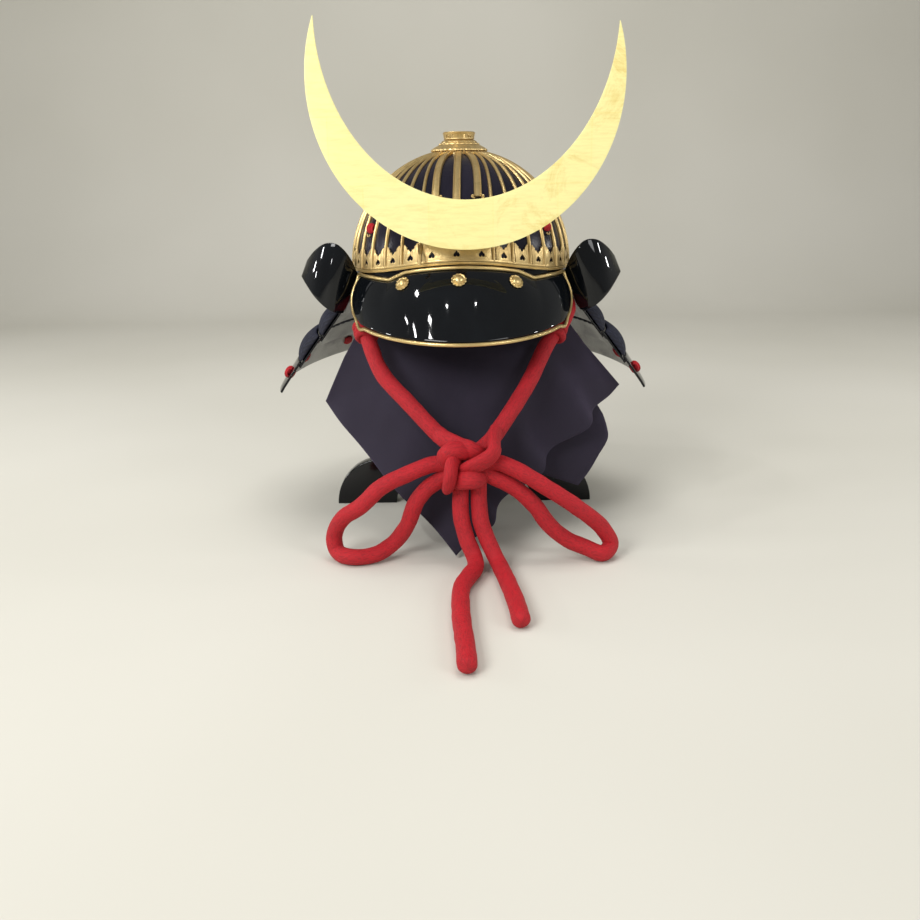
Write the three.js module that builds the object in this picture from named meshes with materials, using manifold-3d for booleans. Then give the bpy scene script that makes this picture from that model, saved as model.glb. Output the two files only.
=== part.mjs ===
// A samurai helmet (kabuto) resting on a black lacquer display stand.
// Millimetres, +Z up, the helmet's face towards -Y.
import * as THREE from 'three'
import { mergeVertices } from 'three/addons/utils/BufferGeometryUtils.js'
import Module from 'manifold-3d'

const wasm = await Module()
wasm.setup()

const gap = 0.3 // clearance between pieces that rest on each other
const facetRoom = 0.5 // extra clearance between two curved walls with unlike facets

// Bowl: a hollow half ellipsoid with an open crown
const rimHeight = 257 // of the bowl's rim above the surface
const bowlHalfWidth = 108
const bowlHalfDepth = 118
const bowlRise = 108 // from the rim to the closed top of the ellipsoid
const bowlWall = 2
const crownHole = 9 // radius of the opening at the crown
const bowlSides = 32
const bowlSteps = 5

// Gilt ribs and front bars over the bowl
const ribRelief = 2.2
const ribWidth = 3
const ribTopRadius = 25 // where ribs and bars end under the crown collar
const ribRingHeight = 1.6
const ribCount = 33 // all round but for the front panel
const bowlTurn = -2.2 // how far ribs and plates are turned from straight ahead, in degrees
const frontPanelHalf = 18 // half of the front panel, in degrees
const ribCrowding = 30 // how far the front ribs turn aside at the crown, in degrees
const barRelief = 2.8
const barWidth = 7.6
const barTopOffset = 8.3 // sideways from the middle bar, under the collar
const barLowOffset = 19
const sideBarBottom = 322 // height where the side bars end

// Pierced gilt border round the rim
const borderWall = 1.3
const borderHeight = 18.5
const borderNotch = 6.5 // depth of the notch at the top of each plate
const frontArch = 10.5 // how far the border rises over the brow
const archHalf = 60 // half of the arched stretch, in degrees
const heartWidth = 6
const heartHeight = 5.6
const heartMiddle = 6.8 // height of a heart's middle above the rim bead
const frontPlates = 3
const beadRadius = 1.3

// Crown ornament
const collarRadius = 28
const collarThick = 1.5
const crownTier = 3.4 // height of one of its two tiers
const tierRadii = [20, 17.6]
const crownRingRadius = 14.7
const crownRingHeight = 8.4
const crownOpening = 7

// Waist band under the bowl
const bandHeight = 15
const bandWall = 2

// Visor
const visorWall = 2
const visorReach = 46 // how far its lip stands in front of the bowl
const visorDrop = 57.5 // from its top edge to its lip, at the middle
const visorSideRise = 7 // how much higher the lip is at its ends
const visorHalfAngle = 62
const visorBrow = 5 // how far the top edge dips below the border beside the middle
const edgingRadius = 1.7
const rivetRadius = 7
const rivetRise = 4.4
const rivetSideShare = 0.42
const rivetDown = 0.15 // how far down the visor the rivets sit
const rivetShift = -0.02 // of all three, round the visor

// Neck guard
const lameWall = 2
const lameRoom = 0.5 // between a lame and the one that it hangs on
const guardTop = 251
const guardLow = 131 // height of its lower edge at the front
const guardRise = 22 // how much higher the lower edge is at the back
const guardLowHalfWidth = 183
const guardLowHalfDepth = 176
const guardTopAngle = 112 // from the back to the front edges, in degrees
const guardLowAngle = 104
const guardSteps = 20
const lacingThick = 3.4
const lacingBulge = 3.6
const guardKnotAngles = [98, 74, 48, 18] // from the back, on both sides, in degrees
const knotLength = 11
const knotWidth = 8
const knotThick = 4.2

// Wings: the turned-back ends of the top lame
const wingReach = 42 // how far a wing stands out from the fold
const wingForward = 14
const wingTopRise = 30 // of its top above the top edge of the lame
const wingLowRise = 34 // of its outer corner above the bottom of the fold

// Crescent crest and its post
const crestHalfWidth = 133
const crestHalfHeight = 137.8
const crestInnerHalfWidth = 125
const crestInnerHalfHeight = 146.3
const crestBottom = 279
const crestDepth = 42 // of the crescent at its lowest point
const crestThick = 2
const crestPlane = 140 // how far in front of the helmet's axis
const crestLean = -1.7 // turn in its own plane, in degrees
const crestShift = 5.5
const postWidth = 14
const postHeight = 12

// Stand
const standHalfWidth = 138
const standHalfDepth = 96
const standFoot = 64 // length of one foot along the board
const standLobe = 50 // height of the rounded foot
const standNeckHalf = 60 // half the boards' width above the feet
const standArch = 60
const standBoard = 14 // thickness of a board
const standTop = 112 // where the boards end under the head block
const blockRadius = 68
const blockShoulder = 248 // height where the dome of the head block begins
const blockTopRadius = 24

// Cloth: a square hung over the head block with one corner to the front
const clothHalfDiagonal = 178
const clothWall = 1.6
const clothSteps = 14
const clothTip = 157 // how far in front its lowest corner hangs
const clothTipHeight = 3
const clothSpread = 0.85 // share of the cloth's width that shows as width
const clothSideDrop = 44
const clothTilt = 6 // how much higher the right corner hangs than a level cloth's
const clothSideSweep = 68
const clothFold = 3
const clothStraySide = 10 // farthest that its middle line strays to the side

// Chin cord
const cordRadius = 7.5
const cordSides = 8
const cordStep = 33
const tieHalfWidth = 30
const tieHalfDepth = 16
const tieHalfHeight = 24
const tieMiddle = [3, -166, 90]
const cordRoutes = {
  chin_cord: [[-2, -160, 100], [-20, -153, 113], [-50, -134, 141], [-75, -114, 165], [-88, -91, 190],
    [-94, -71, 205], [-101.5, -46, 216], [-103, 0, 222], [-90, 55, 227], [-55, 98, 230], [0, 113, 231],
    [55, 98, 230], [90, 55, 227], [103, 0, 222], [104.5, -52, 216], [94.5, -76.5, 202], [81, -91, 188],
    [61, -119, 156], [37, -143, 125], [24, -153, 110], [8, -160, 98]],
  loop_left: [[-12, -166, 93], [-30, -167, 92], [-51, -171, 85], [-75, -174, 74], [-94, -173, 56], [-113, -166, 41],
    [-122, -160, 22], [-120, -163, 9], [-106, -177, 8], [-83, -173, 8.5], [-66, -162, 16], [-53, -166, 35],
    [-45, -168, 56], [-34, -168, 70], [-8, -166, 86]],
  loop_right: [[14, -166, 93], [30, -167, 93], [47, -171, 87], [72, -174, 72], [101, -174, 52], [126, -168, 29],
    [134, -168, 13], [125, -178, 8], [111, -173, 12], [93, -172, 20], [76, -172, 35], [63, -170, 53],
    [44, -168, 70], [10, -166, 87]],
  end_left: [[-4, -168, 80], [-4, -171, 64], [-4, -178, 48], [1, -185, 27], [8, -193, 11], [8, -206, 8],
    [3, -222, 8], [-4, -246, 8], [-5, -298, 8], [-2, -352, 8], [-1, -382, 8]],
  end_right: [[12.5, -168, 80], [12.5, -170, 64], [14, -180, 42], [22, -188, 21], [29, -198, 8.5], [35, -237, 8],
    [40, -280, 8], [42, -313, 8]],
}

// Neck guard's outline: how far down, and how far out it has spread by then
const guardProfile = [
  { down: 0, spread: 0 },
  { down: 0.31, spread: 0.19 },
  { down: 0.765, spread: 0.74 },
  { down: 1, spread: 1 },
]

// Cloth's middle line: how far down, and how far sideways it has strayed
const clothStray = [
  { down: -0.45, side: -0.1 },
  { down: -0.2, side: 0.2 },
  { down: 0, side: 1 },
  { down: 1, side: -0.9 },
]

// Lames, each from and to a share of the way down
const lames = [
  { name: 'lame_top', from: 0, to: 0.31 },
  { name: 'lame_second', from: 0.305, to: 0.56 },
  { name: 'lame_third', from: 0.53, to: 0.79 },
  { name: 'lame_lowest', from: 0.76, to: 1 },
]
const lacings = [
  { name: 'lacing_upper', lame: 1, from: 0.325, to: 0.52 },
  { name: 'lacing_lower', lame: 2, from: 0.535, to: 0.745 },
]

// Visor's top edge: how far round it, and how far it dips below the border there
const visorBrowLine = [
  { round: 0, dip: 0 },
  { round: 0.3, dip: 0 },
  { round: 0.45, dip: 0.1 },
  { round: 0.6, dip: 1 },
  { round: 0.8, dip: 0.3 },
  { round: 1, dip: 0 },
]

// Wing columns from the fold outwards, as shares of the wing's sizes
const wingColumns = [
  { out: 0.12, forward: 0.75, low: 0, high: 0.55 },
  { out: 0.36, forward: 1, low: 0.08, high: 0.97 },
  { out: 0.62, forward: 0.65, low: 0.3, high: 1 },
  { out: 0.85, forward: -0.3, low: 0.62, high: 0.84 },
  { out: 1, forward: -1.2, low: 1, high: 0.3 },
]

const gilt = { color: 0xc79a45, metalness: 1, roughness: 0.34 }
const leaf = { color: 0xe6cf6a, metalness: 1, roughness: 0.4 }
const lacquer = { color: 0x08080a, metalness: 0, roughness: 0.08 }
const navy = { color: 0x14183c, metalness: 0, roughness: 0.8 }
const red = { color: 0xc4142a, metalness: 0, roughness: 0.75 }
const purple = { color: 0x2a2038, metalness: 0, roughness: 0.95 }

const group = new THREE.Group()
const hardPieces = new THREE.Group()
const cordPieces = new THREE.Group()
group.add(hardPieces, cordPieces)

const radians = THREE.MathUtils.degToRad
const lerp = THREE.MathUtils.lerp
const vector = (x, y, z) => new THREE.Vector3(x, y, z)
const range = (count, make) => Array.from({ length: count }, (_, k) => make(k))

function add(name, geometry, look, parent = hardPieces) {
  const mesh = new THREE.Mesh(geometry, new THREE.MeshStandardMaterial(look))
  mesh.name = name
  parent.add(mesh)
  return mesh
}

function fromTriangles(points, triangles) {
  const geometry = new THREE.BufferGeometry()
  const numbers = points.flatMap((p) => [p.x, p.y, p.z])
  geometry.setAttribute('position', new THREE.Float32BufferAttribute(numbers, 3))
  geometry.setIndex(triangles.flat())
  return geometry
}

function merged(geometry) {
  const plain = geometry.clone()
  plain.deleteAttribute('normal')
  plain.deleteAttribute('uv')
  return mergeVertices(plain, 1e-3)
}

function solid(geometry) {
  const closed = merged(geometry)
  return new wasm.Manifold(new wasm.Mesh({
    numProp: 3,
    vertProperties: new Float32Array(closed.attributes.position.array),
    triVerts: new Uint32Array(closed.index.array),
  }))
}

function fromSolid(body) {
  const mesh = body.getMesh()
  const geometry = new THREE.BufferGeometry()
  geometry.setAttribute('position', new THREE.BufferAttribute(mesh.vertProperties, 3))
  geometry.setIndex(new THREE.BufferAttribute(mesh.triVerts, 1))
  return geometry
}

// Value between the rows of a table, by straight lines
function between(table, key, value, wanted) {
  let k = 1
  while (k < table.length - 1 && table[k][key] < value) k++
  const [a, b] = [table[k - 1], table[k]]
  const share = THREE.MathUtils.clamp((value - a[key]) / (b[key] - a[key]), 0, 1)
  return lerp(a[wanted], b[wanted], share)
}

// A closed wall, half its thickness on each side of a grid of middle points.
// rows[j][i]: i runs to the right and j downwards, as seen from outside.
function wall(rows, thickness, ring = false) {
  const height = rows.length
  const width = rows[0].length
  const at = (j, i) => rows[j][ring ? (i + width) % width : THREE.MathUtils.clamp(i, 0, width - 1)]
  const outside = []
  const inside = []
  for (let j = 0; j < height; j++) {
    for (let i = 0; i < width; i++) {
      const along = at(j, i + 1).clone().sub(at(j, i - 1))
      const down = at(Math.min(j + 1, height - 1), i).clone().sub(at(Math.max(j - 1, 0), i))
      const normal = down.cross(along).normalize()
      outside.push(at(j, i).clone().addScaledVector(normal, thickness / 2))
      inside.push(at(j, i).clone().addScaledVector(normal, -thickness / 2))
    }
  }
  const count = width * height
  const columns = ring ? width : width - 1
  const triangles = []
  const quad = (a, b, c, d) => triangles.push([a, b, c], [a, c, d])
  const index = (j, i) => j * width + (i % width)
  for (let j = 0; j < height - 1; j++) {
    for (let i = 0; i < columns; i++) {
      const [a, b, c, d] = [index(j, i), index(j + 1, i), index(j + 1, i + 1), index(j, i + 1)]
      quad(a, b, c, d)
      quad(a + count, d + count, c + count, b + count)
    }
  }
  for (let i = 0; i < columns; i++) {
    const [top, next] = [index(0, i), index(0, i + 1)]
    quad(top, next, next + count, top + count)
    const [low, lowNext] = [index(height - 1, i), index(height - 1, i + 1)]
    quad(low, low + count, lowNext + count, lowNext)
  }
  for (let j = 0; !ring && j < height - 1; j++) {
    const [left, under] = [index(j, 0), index(j + 1, 0)]
    quad(left, left + count, under + count, under)
    const [right, rightUnder] = [index(j, width - 1), index(j + 1, width - 1)]
    quad(right, rightUnder, rightUnder + count, right + count)
  }
  return fromTriangles([...outside, ...inside], triangles)
}

// A solid turned about the vertical axis, from a closed outline of radius and height
function turned(outline, sides) {
  const points = outline.map(([radius, height]) => new THREE.Vector2(radius, height))
  const ordered = THREE.ShapeUtils.area(points) > 0 ? points : points.reverse()
  return merged(new THREE.LatheGeometry([...ordered, ordered[0]], sides).rotateX(Math.PI / 2))
}

function tube(points, radius, sides, step) {
  const path = new THREE.CatmullRomCurve3(points)
  const circle = new THREE.EllipseCurve(0, 0, radius, radius, 0, 2 * Math.PI)
  const section = new THREE.Shape(circle.getPoints(sides).slice(0, sides))
  const steps = Math.max(2, Math.round(path.getLength() / step))
  return new THREE.ExtrudeGeometry(section, { steps, extrudePath: path })
}

function loopTube(points, radius, segments, sides) {
  const path = new THREE.CatmullRomCurve3(points, true)
  return merged(new THREE.TubeGeometry(path, segments, radius, sides, true))
}

// A point of the helmet's shell: turned from the front, at a height, out from the bowl's surface
function shellPoint(turn, height, out) {
  const climb = THREE.MathUtils.clamp((height - rimHeight) / bowlRise, 0, 0.999)
  const share = Math.sqrt(1 - climb * climb)
  const [x, y] = [bowlHalfWidth * share * Math.sin(turn), -bowlHalfDepth * share * Math.cos(turn)]
  const normal = vector(x / bowlHalfWidth ** 2, y / bowlHalfDepth ** 2, climb / bowlRise).normalize()
  return vector(x, y, height).addScaledVector(normal, out)
}

// Height of the bowl's surface where its profile has shrunk to a share of the rim's
const domeHeight = (share) => rimHeight + bowlRise * Math.sqrt(1 - share * share)
const domeShare = (height) => Math.sqrt(1 - Math.max(0, (height - rimHeight) / bowlRise) ** 2)
const ribTopHeight = domeHeight(ribTopRadius / bowlHalfWidth)

// Heights down to a lower end, by the bowl's own steps of even angle
function domeHeights(from, to) {
  const angle = (height) => Math.asin((height - rimHeight) / bowlRise)
  const steps = range(bowlSteps + 1, (k) => (Math.PI / 2) * (1 - k / bowlSteps))
  const inner = steps.filter((a) => a < angle(from) - 0.02 && a > angle(to) + 0.02)
  return [from, ...inner.map((a) => rimHeight + bowlRise * Math.sin(a)), to]
}

// Height of the lower edge of the border, which arches over the brow
function rimAt(turn) {
  const share = Math.min(Math.abs(Math.atan2(Math.sin(turn), Math.cos(turn))) / radians(archHalf), 1)
  return rimHeight + frontArch * 0.5 * (1 + Math.cos(Math.PI * share))
}

const ribPitch = (360 - 2 * frontPanelHalf) / (ribCount - 1)

// Turn of a rib at a height: near the crown the front ribs make room for the bars
function ribTurn(k, height) {
  const low = frontPanelHalf + k * ribPitch
  const aside = ribCrowding * (1 - domeShare(height)) ** 1.4 * (1 - low / 180)
  return radians(bowlTurn + low + aside)
}

function makeBowl() {
  const crown = domeHeight(crownHole / bowlHalfWidth)
  const rows = domeHeights(crown, rimHeight).map((height) => range(bowlSides,
    (i) => shellPoint((2 * Math.PI * i) / bowlSides, height, -bowlWall / 2)))
  return wall(rows, bowlWall, true)
}

// A ridge down the bowl with its foot on the bowl's surface.
// section: points across it, as shares of half its width and of its relief.
function ridge(turnAt, bottom, widthAt, relief, section) {
  const heights = domeHeights(ribTopHeight, bottom)
  const size = section.length
  const points = heights.flatMap((height) => {
    const turn = turnAt(height)
    const across = shellPoint(turn + 0.01, height, gap).sub(shellPoint(turn - 0.01, height, gap)).normalize()
    return section.map(([side, rise]) => shellPoint(turn, height, gap + rise * relief)
      .addScaledVector(across, (side * widthAt(height)) / 2))
  })
  const triangles = []
  for (let k = 0; k < heights.length - 1; k++) {
    for (let side = 0; side < size; side++) {
      const [a, b] = [size * k + side, size * k + ((side + 1) % size)]
      triangles.push([a, a + size, b + size], [a, b + size, b])
    }
  }
  const last = size * (heights.length - 1)
  for (let side = 1; side < size - 1; side++) {
    triangles.push([0, side, side + 1], [last, last + side + 1, last + side])
  }
  return fromTriangles(points, triangles)
}

function makeRibCage() {
  const section = [[-1, 0], [0, 1], [1, 0]]
  const ribs = range(ribCount, (k) => {
    const bottom = rimAt(ribTurn(k, rimHeight)) + borderHeight + gap
    return solid(ridge((height) => ribTurn(k, height), bottom, () => ribWidth, ribRelief, section))
  })
  const ringRows = [ribTopHeight + gap, ribTopHeight - ribRingHeight].map((height) => range(ribCount,
    (k) => shellPoint(ribTurn(k, height), height, gap + ribRelief / 2)))
  const ring = solid(wall(ringRows, ribRelief + gap))
  return fromSolid(ribs.reduce((body, rib) => body.add(rib), ring))
}

function makeFrontBar(side) {
  const offset = (height) => side * lerp(barTopOffset, barLowOffset, domeShare(height))
  const turnAt = (height) => radians(bowlTurn) + Math.asin(offset(height) / (bowlHalfWidth * domeShare(height)))
  const widthAt = (height) => barWidth * lerp(0.75, 1, domeShare(height))
  const bottom = side ? sideBarBottom : rimAt(radians(bowlTurn)) + borderHeight + gap
  return ridge(turnAt, bottom, widthAt, barRelief, [[-1, 0], [-0.7, 1], [0.7, 1], [1, 0]])
}

// A boar's-eye heart, its point upwards
function heart(middle) {
  const outline = [[0, 1], [1, -0.3], [0.5, -1], [0, -0.6], [-0.5, -1], [-1, -0.3]]
  return outline.map(([x, y]) => new THREE.Vector2(middle + (x * heartWidth) / 2, heartMiddle + (y * heartHeight) / 2))
}

// A border plate: upright sides, and a cusped notch in the middle of its top
function plateOutline(width) {
  const half = width / 2
  const step = borderNotch / 3
  const outline = [[-half, 0], [0, 0], [half, 0], [half, borderHeight], [0.42 * half, borderHeight - step],
    [0.34 * half, borderHeight - 2.1 * step], [0, borderHeight - borderNotch], [-0.34 * half, borderHeight - 2.1 * step],
    [-0.42 * half, borderHeight - step], [-half, borderHeight]]
  return outline.map(([x, y]) => new THREE.Vector2(x, y))
}

function makeBorder() {
  const arc = (bowlHalfWidth + bowlHalfDepth) / 2 // length along the rim for one radian
  const frontTurn = radians(2 * frontPanelHalf) / frontPlates
  const plates = [
    ...range(frontPlates, (k) => ({
      middle: radians(bowlTurn) + frontTurn * (k - (frontPlates - 1) / 2),
      turn: frontTurn,
      posts: [k === 0, k === frontPlates - 1],
    })),
    ...range(ribCount - 1, (k) => ({
      middle: ribTurn(k + 0.5, rimHeight), turn: radians(ribPitch), posts: [true, true],
    })),
  ]
  const points = []
  const triangles = []
  for (const { middle, turn, posts } of plates) {
    const width = turn * arc
    const outline = plateOutline(width)
    const hole = heart(0)
    const flat = [...outline, ...hole]
    const [start, size] = [points.length, flat.length]
    const relief = (x) => ((posts[0] && x < -width / 2 + 1e-6) || (posts[1] && x > width / 2 - 1e-6) ? ribRelief : borderWall)
    for (const side of [1, 0]) {
      for (const p of flat) {
        const at = middle + p.x / arc
        points.push(shellPoint(at, rimAt(at) + p.y, gap + side * relief(p.x)))
      }
    }
    for (const [a, b, c] of THREE.ShapeUtils.triangulateShape(outline, [hole])) {
      triangles.push([start + a, start + b, start + c], [start + size + a, start + size + c, start + size + b])
    }
    const ends = (loop, k) => [loop[k], loop[(k + 1) % loop.length]]
    const sideWall = (loop, first, skip) => loop.forEach((_, k) => {
      const [p, q] = ends(loop, k)
      if (skip && Math.abs(p.x - q.x) < 1e-6) return
      const [a, b] = [first + k, first + ((k + 1) % loop.length)]
      triangles.push([a, a + size, b + size], [a, b + size, b])
    })
    sideWall(outline, start, true)
    sideWall(hole, start + outline.length, false)
  }
  return merged(fromTriangles(points, triangles))
}

function makeBorderBead() {
  const points = range(32, (k) => {
    const turn = (2 * Math.PI * k) / 32
    return shellPoint(turn, rimAt(turn) - gap - beadRadius, gap + facetRoom + beadRadius)
  })
  return loopTube(points, beadRadius, 30, 4)
}

function makeCrown() {
  const under = (radius) => domeHeight(radius / bowlHalfDepth) + gap
  const seat = bowlHalfWidth * domeShare(ribTopHeight + gap) - gap
  const base = domeHeight(ribTopRadius / bowlHalfDepth) + 2 * gap + barRelief
  const ringBase = base + collarThick + 2 * crownTier
  return turned([[crownOpening, under(crownHole)], [crownHole, under(crownHole)], [seat, under(seat)], [seat, base + 0.4],
    [collarRadius, base - 0.6], [collarRadius, base + collarThick - 0.6],
    [tierRadii[0], base + collarThick + 0.6 * crownTier], [tierRadii[0], base + collarThick + crownTier],
    [tierRadii[1], base + collarThick + crownTier], [tierRadii[1], ringBase - 0.6], [crownRingRadius - 1, ringBase],
    [crownRingRadius, ringBase + crownRingHeight], [crownOpening, ringBase + crownRingHeight]], 16)
}

function makeBand() {
  const rows = [rimHeight - gap, rimHeight - gap - bandHeight].map((height) => range(bowlSides,
    (i) => shellPoint((2 * Math.PI * i) / bowlSides, rimHeight, -bandWall / 2).setZ(height)))
  return wall(rows, bandWall, true)
}

// Middle surface of the visor: round from -1 to 1 and down from 0 to 1
function visorPoint(round, down) {
  const seat = gap + facetRoom + edgingRadius
  const bulge = Math.sin(Math.PI * THREE.MathUtils.clamp(down, 0, 1))
  const turn = round * radians(visorHalfAngle + 5 * bulge - 3 * down)
  const halfWidth = bowlHalfWidth + seat + 4.6 * down + 3 * bulge
  const halfDepth = bowlHalfDepth + seat + visorReach * Math.max(down, 0) ** 0.85
  const share = Math.abs(round)
  const room = 3 * gap + 2 * facetRoom + 2 * beadRadius + 2 * edgingRadius
  const top = rimAt(round * radians(visorHalfAngle)) - room - visorBrow * between(visorBrowLine, 'round', share, 'dip')
  const lip = rimAt(0) - room - visorDrop + visorSideRise * share * share
  return vector(halfWidth * Math.sin(turn), -halfDepth * Math.cos(turn), lerp(top, lip, down))
}

function makeVisor() {
  return wall(range(5, (j) => range(17, (i) => visorPoint(i / 8 - 1, j / 4))), visorWall)
}

// The visor's rope of edging, just clear of its outline
function makeVisorEdging() {
  const reach = gap + facetRoom + edgingRadius
  const squareTo = (edge, direction) => direction.clone().addScaledVector(edge, -direction.dot(edge)).normalize()
  const outline = (round, down) => {
    const inner = THREE.MathUtils.clamp(down, 0.01, 0.99)
    const across = visorPoint(round + 0.01, down).sub(visorPoint(round - 0.01, down)).normalize()
    const along = visorPoint(round, inner + 0.01).sub(visorPoint(round, inner - 0.01)).normalize()
    const at = visorPoint(round, down)
    if (Math.abs(round) === 1) at.addScaledVector(squareTo(along, across), round * reach)
    if (down === 0) at.z += reach
    if (down === 1) at.addScaledVector(squareTo(across, along), reach)
    return at
  }
  const top = range(17, (k) => outline(-1 + k / 8, 0))
  const right = range(5, (k) => outline(1, (k + 1) / 6))
  const low = range(11, (k) => outline(1 - k / 5, 1))
  const left = range(5, (k) => outline(-1, (5 - k) / 6))
  return loopTube([...top, ...right, ...low, ...left], edgingRadius, 72, 4)
}

function addRivet(name, round) {
  const at = visorPoint(round, rivetDown)
  const across = visorPoint(round + 0.01, rivetDown).sub(visorPoint(round - 0.01, rivetDown))
  const down = visorPoint(round, rivetDown + 0.01).sub(visorPoint(round, rivetDown - 0.01))
  const normal = down.cross(across).normalize()
  const outline = [[0, 0], [rivetRadius, 0], [rivetRadius * 0.95, rivetRise * 0.3], [rivetRadius * 0.62, rivetRise * 0.45],
    [rivetRadius * 0.45, rivetRise * 0.85], [0, rivetRise]]
  const rivet = add(name, turned(outline, 8), gilt)
  rivet.quaternion.setFromUnitVectors(vector(0, 0, 1), normal)
  rivet.position.copy(at).addScaledVector(normal, visorWall / 2 + gap)
}

const lameSeat = gap + facetRoom + lameWall / 2

// A point of the neck guard: turned from the back, a share of the way down, out from the top lame
function guardPoint(round, down, out) {
  const place = (r, d) => {
    const spread = between(guardProfile, 'down', d, 'spread')
    const halfWidth = lerp(bowlHalfWidth + lameSeat, guardLowHalfWidth, spread)
    const halfDepth = lerp(bowlHalfDepth + lameSeat, guardLowHalfDepth, spread)
    const turn = Math.PI + r * radians(lerp(guardTopAngle, guardLowAngle, d))
    const low = guardLow + guardRise * 0.5 * (1 + Math.cos(Math.PI * r))
    return vector(halfWidth * Math.sin(turn), -halfDepth * Math.cos(turn), lerp(guardTop, low, d))
  }
  const across = place(round + 0.01, down).sub(place(round - 0.01, down))
  const fall = place(round, down + 0.01).sub(place(round, down - 0.01))
  return place(round, down).addScaledVector(fall.cross(across).normalize(), out)
}

const lameOut = (k) => k * (lameWall + lameRoom)

function lameRows(k, steps) {
  const { from, to } = lames[k]
  return range(steps + 1, (j) => range(guardSteps + 1,
    (i) => guardPoint((2 * i) / guardSteps - 1, lerp(from, to, j / steps), lameOut(k))))
}

// The top lame turns forward and out at its ends, as the two wings
function makeTopLame() {
  const rows = lameRows(0, 2)
  const wing = (edge, side) => wingColumns.map(({ out, forward, low, high }) => rows.map((_, j) => {
    const [top, foot] = [rows[0][edge], rows[2][edge]]
    const middle = lerp(top.x, foot.x, j / 2)
    const height = lerp(top.z + high * wingTopRise, foot.z + low * wingLowRise, j / 2)
    return vector(middle + side * out * wingReach, top.y - forward * wingForward, height)
  }))
  const right = wing(0, 1).reverse()
  const left = wing(guardSteps, -1)
  return wall(rows.map((row, j) => [...right.map((c) => c[j]), ...row, ...left.map((c) => c[j])]), lameWall)
}

function makeLacing({ lame, from, to }) {
  const seat = lameOut(lame) + lameWall / 2 + gap + facetRoom + lacingThick / 2
  return wall(range(4, (j) => range(guardSteps + 1, (i) => guardPoint((2 * i) / guardSteps - 1,
    lerp(from, to, j / 3), seat + lacingBulge * Math.sin((Math.PI * j) / 3)))), lacingThick)
}

// A flattened knot on a surface: right along the surface, up away from its lower edge
function addKnot(name, at, normal) {
  const ball = new THREE.SphereGeometry(0.5, 6, 4).scale(knotLength, knotThick, knotWidth)
  const knot = add(name, merged(ball), red)
  knot.quaternion.setFromUnitVectors(vector(0, 1, 0), normal)
  knot.position.copy(at).addScaledVector(normal, knotThick / 2)
}

function addBowlKnots() {
  const level = 292
  const plates = [3, 9, ribCount - 11, ribCount - 5]
  plates.forEach((k, n) => {
    const turn = (ribTurn(k, level) + ribTurn(k + 1, level)) / 2
    const at = shellPoint(turn, level, gap)
    const normal = shellPoint(turn, level, 1).sub(shellPoint(turn, level, 0))
    addKnot(`bowl_knot_${n + 1}`, at, normal)
  })
}

function addGuardKnots() {
  const level = 0.87
  const rounds = guardKnotAngles.map((angle) => angle / guardLowAngle)
  const outside = lameOut(3) + lameWall / 2 + gap
  rounds.flatMap((round) => [round, -round]).forEach((round, n) => {
    const column = ((round + 1) / 2) * guardSteps
    const [before, after] = [Math.floor(column), Math.ceil(column)]
      .map((k) => guardPoint((2 * k) / guardSteps - 1, level, outside))
    const normal = guardPoint(round, level, 1).sub(guardPoint(round, level, 0))
    addKnot(`guard_knot_${n + 1}`, before.lerp(after, column % 1), normal)
  })
}

const outerMiddle = crestBottom + crestHalfHeight
const innerMiddle = crestBottom + crestDepth + crestInnerHalfHeight

// Height where the crescent's two curves meet
function crestTipHeight() {
  const half = (width, rise, middle, z) => width * Math.sqrt(Math.max(0, 1 - ((z - middle) / rise) ** 2))
  let [low, high] = [outerMiddle, outerMiddle + crestHalfHeight]
  for (let k = 0; k < 40; k++) {
    const z = (low + high) / 2
    const open = half(crestHalfWidth, crestHalfHeight, outerMiddle, z)
      > half(crestInnerHalfWidth, crestInnerHalfHeight, innerMiddle, z) + 0.4
    if (open) low = z
    else high = z
  }
  return low
}

function makeCrest() {
  const tip = crestTipHeight()
  const arc = (halfWidth, halfHeight, middle, steps) => {
    const end = Math.asin((tip - middle) / halfHeight)
    return range(steps + 1, (k) => {
      const angle = lerp(-Math.PI - end, end, k / steps)
      return new THREE.Vector2(halfWidth * Math.cos(angle), middle - outerMiddle + halfHeight * Math.sin(angle))
    })
  }
  const outer = arc(crestHalfWidth, crestHalfHeight, outerMiddle, 28)
  const inner = arc(crestInnerHalfWidth, crestInnerHalfHeight, innerMiddle, 26)
  const shape = new THREE.Shape([...outer, ...inner.reverse()])
  return new THREE.ExtrudeGeometry(shape, { depth: crestThick, bevelEnabled: false })
    .translate(0, 0, -crestThick / 2).rotateX(Math.PI / 2).rotateY(radians(-crestLean))
}

function makeCrestPost() {
  const level = crestBottom + crestDepth / 2
  const front = -crestPlane + crestThick / 2 + gap
  const back = shellPoint(0, level - postHeight / 2, gap + barRelief).y - gap
  return new THREE.BoxGeometry(postWidth, back - front, postHeight).translate(0, (front + back) / 2, level)
}

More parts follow.
